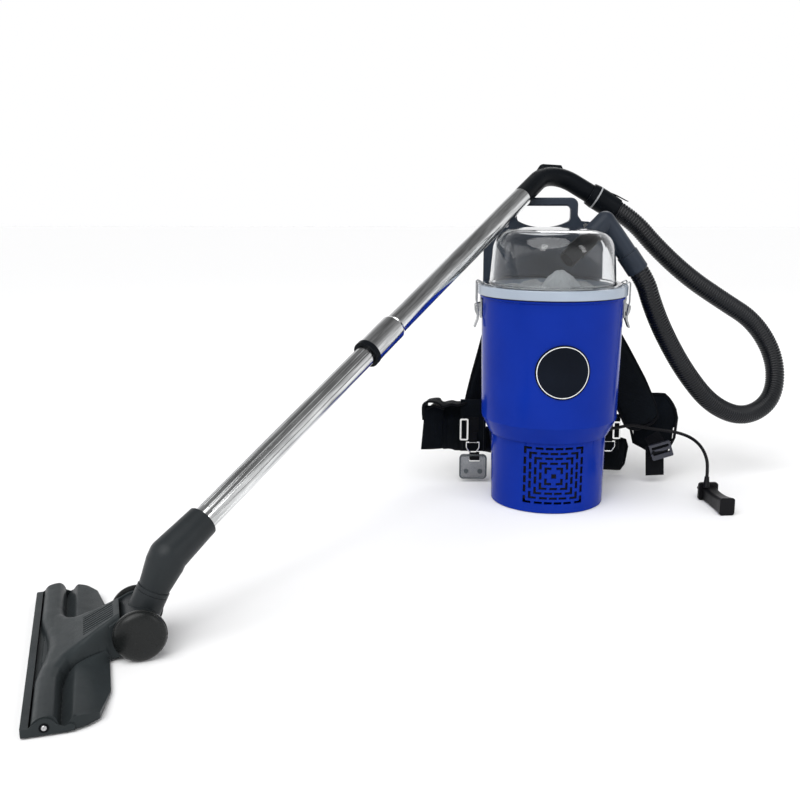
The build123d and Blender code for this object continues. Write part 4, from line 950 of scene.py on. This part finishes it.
CHEEK_R, CHEEK_IN, CHEEK_OUT = 28.4, 29.5, 33.2
WHEEL_IN = 36
WHEEL_PROFILE = [(0, 4.2), (0, 29.5), (0.8, 31.4), (2.2, 32), (4.4, 32), (5.0, 31.4), (5.2, 30.8),
                 (5.7, 31.1), (7.4, 30.9), (9.2, 29.8), (11.0, 27.6), (12.6, 24.4), (13.9, 20),
                 (14.8, 15), (15.4, 9), (15.7, 4), (15.7, 0)]
CAP_OUTLINE = [(0.6, 1.6), (0.6, 11), (8.2, 11.2), (14, 15.5), (20, 19.6), (26, 20.4), (32, 18), (38, 11),
               (44, 8.2), (51, 10.5), (54, 9), (54, 3), (46, 1.8)]


def make_head():
    """The nozzle body with its drum cheeks, wheels, end caps and screws."""
    make_nozzle()
    arc = [(AXLE_X + CHEEK_R * math.cos(a), AXLE_Z + CHEEK_R * math.sin(a))
           for a in np.linspace(math.radians(-92), math.radians(112), 40)]
    outline = [(92, 5.0), (108, 3.8)] + arc + [(104, 52), (92, 44)]
    for hand, tag in ((-1, "near"), (1, "far")):
        low, high = sorted((hand * CHEEK_IN, hand * CHEEK_OUT))
        outline_plate(f"drum_cheek_{tag}", outline, low, high, satin, "head")
        wheel = lathe(f"wheel_{tag}", on_head(AXLE_X, hand * WHEEL_IN, AXLE_Z), HEAD_Y * hand,
                      WHEEL_PROFILE, tyre, f"wheel_{tag}", 72)
        sharpen(wheel, 40)
        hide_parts(f"head_wheel_{tag}")
        low, high = sorted((hand * (LIP_HALF + 0.1), hand * (LIP_HALF + 2.0)))
        cap = outline_plate(f"lip_cap_{tag}", CAP_OUTLINE, low, high, satin, "head")
        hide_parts("end_caps")
        screw = on_head(24, hand * (LIP_HALF + 1.9), 10)
        lathe(f"lip_screw_seat_{tag}", screw, HEAD_Y * hand, [(0, 5.2), (0.5, 5.2), (0.6, 4.6), (0.3, 3.4)],
              black, "head")
        lathe(f"lip_screw_{tag}", screw, HEAD_Y * hand,
              [(0, 3.0), (0.9, 3.0), (1.5, 2.4), (1.7, 1.2), (1.3, 1.0), (1.2, 0)], steel, "head")


BAG_LEVEL, BAG_TOP = 374.0, 421
# Bunches in the bag's cloth: x, y, height, reach and how full the bunch is.
BUNCHES = ((11, -22, 33, 40, 2.0), (-66, -8, 11, 26, 1.8), (52, 46, 9, 30, 1.8), (-30, 60, 10, 26, 1.8))


def make_bag():
    """The cloth bag: bunched up in the lid, straight sides below in the shell."""
    turns = np.linspace(0, 2 * math.pi, 160, endpoint=False)
    rings = []
    for radius, level in ((60, 152.4), (94, 152.8), (101, 168), (104, 260), (104.5, 350), (104, 366)):
        rings.append([(radius * math.cos(a) * MM, radius * math.sin(a) * MM, level * MM) for a in turns])
    for radius in np.linspace(102.5, 0.6, 64):
        ring = []
        for a in turns:
            x, y = radius * math.cos(a), radius * math.sin(a)
            level = BAG_LEVEL + 2.0 * math.sin(min(1, (103 - radius) / 14) * math.pi / 2)
            for px, py, high, wide, keen in BUNCHES:
                far = math.hypot(x - px, (y - py) * 0.8) / wide
                level += high * max(0.0, 1 - far ** keen) ** 1.35
            crease = noise.fractal(Vector((x, y, 0)) * 0.055 + Vector((3, 5, 0)), 0.8, 2.2, 4)
            folds = math.sin(a * 23 + radius * 0.03) * 0.9 * min(1, radius / 70)
            level += crease * 3.4 + folds
            ring.append((x * MM, y * MM, min(level, BAG_TOP) * MM))
        rings.append(ring)
    bag = loft("cloth_bag", rings, bag_cloth)
    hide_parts("filter_bag")


BADGE_TURN = math.radians(3.6)
BADGE_PROUD = 2.4 * MM
SHELL_TAPER = 0.035         # how much the shell's radius grows with height


def make_badge():
    """A round plaque on the shell's curve: black, with a thin pale ring near its edge."""
    low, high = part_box("badge")
    centre_z = (low[2] + high[2]) / 2
    edge = (high[0] - low[0]) / 2
    shell_r = -low[1] - BADGE_PROUD

    def bowed(radius, angle, lift):
        """A place on the plaque, wrapped round the shell and turned about its axis."""
        px, pz = radius * math.cos(angle), radius * math.sin(angle)
        around = shell_r + pz * SHELL_TAPER + lift
        deep = math.sqrt(around ** 2 - px ** 2)
        return (px * math.cos(BADGE_TURN) + deep * math.sin(BADGE_TURN),
                px * math.sin(BADGE_TURN) - deep * math.cos(BADGE_TURN), centre_z + pz)

    turns = np.linspace(0, 2 * math.pi, 96, endpoint=False)
    for name, profile, finish in (
            ("badge_disc", [(0.01, 1.5), (20, 1.5), (40.8, 1.5), (42.0, 1.7), (42.2, 1.5), (43.8, 1.5),
                            (44.0, 2.0), (45.6, 1.9), (46, 1.4), (46, 0.15), (20, 0.15), (0.01, 0.15)],
             black_gloss),
            ("badge_ring", [(42.4, 1.2), (42.4, 2.0), (42.7, 2.25), (43.4, 2.25), (43.7, 2.0), (43.7, 1.2)],
             white)):
        rings = [[bowed(min(r * MM, edge), a, lift * MM) for a in turns] for r, lift in profile]
        made = loft(name, rings, finish, looped=name == "badge_ring")
        sharpen(made, 40)
        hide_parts("badge")


def make_plate_trim():
    """The clear plate's darker rim and two round bosses."""
    low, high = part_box("clear_plate")
    x, z = (low[0] + high[0]) / 2, (low[2] + high[2]) / 2
    rim_inset, rim_r, corner = 1.6 * MM, 1.3 * MM, 6.5 * MM
    half_x, half_z = (high[0] - low[0]) / 2 - rim_inset, (high[2] - low[2]) / 2 - rim_inset
    path = []
    for cx, cz, first in ((1, 1, 0), (-1, 1, 90), (-1, -1, 180), (1, -1, 270)):
        for angle in np.radians(np.linspace(first, first + 90, 9)):
            path.append((x + cx * (half_x - corner) + corner * math.cos(angle), low[1] + 0.4 * MM,
                         z + cz * (half_z - corner) + corner * math.sin(angle)))
    bead("plate_rim", np.array(path), rim_r, smoke_dark)
    for tag, offset in (("left", -13), ("right", 13)):
        lathe(f"plate_boss_{tag}", Vector((x + offset * MM, low[1] + 1.4 * MM, z - 9 * MM)), (0, -1, 0),
              [(-0.8, 4.6), (0.6, 4.6), (1.1, 4.2), (1.2, 3.2), (0.8, 1.2), (0.8, 0)], smoke_dark)


make_head()
make_bag()
make_badge()
make_plate_trim()
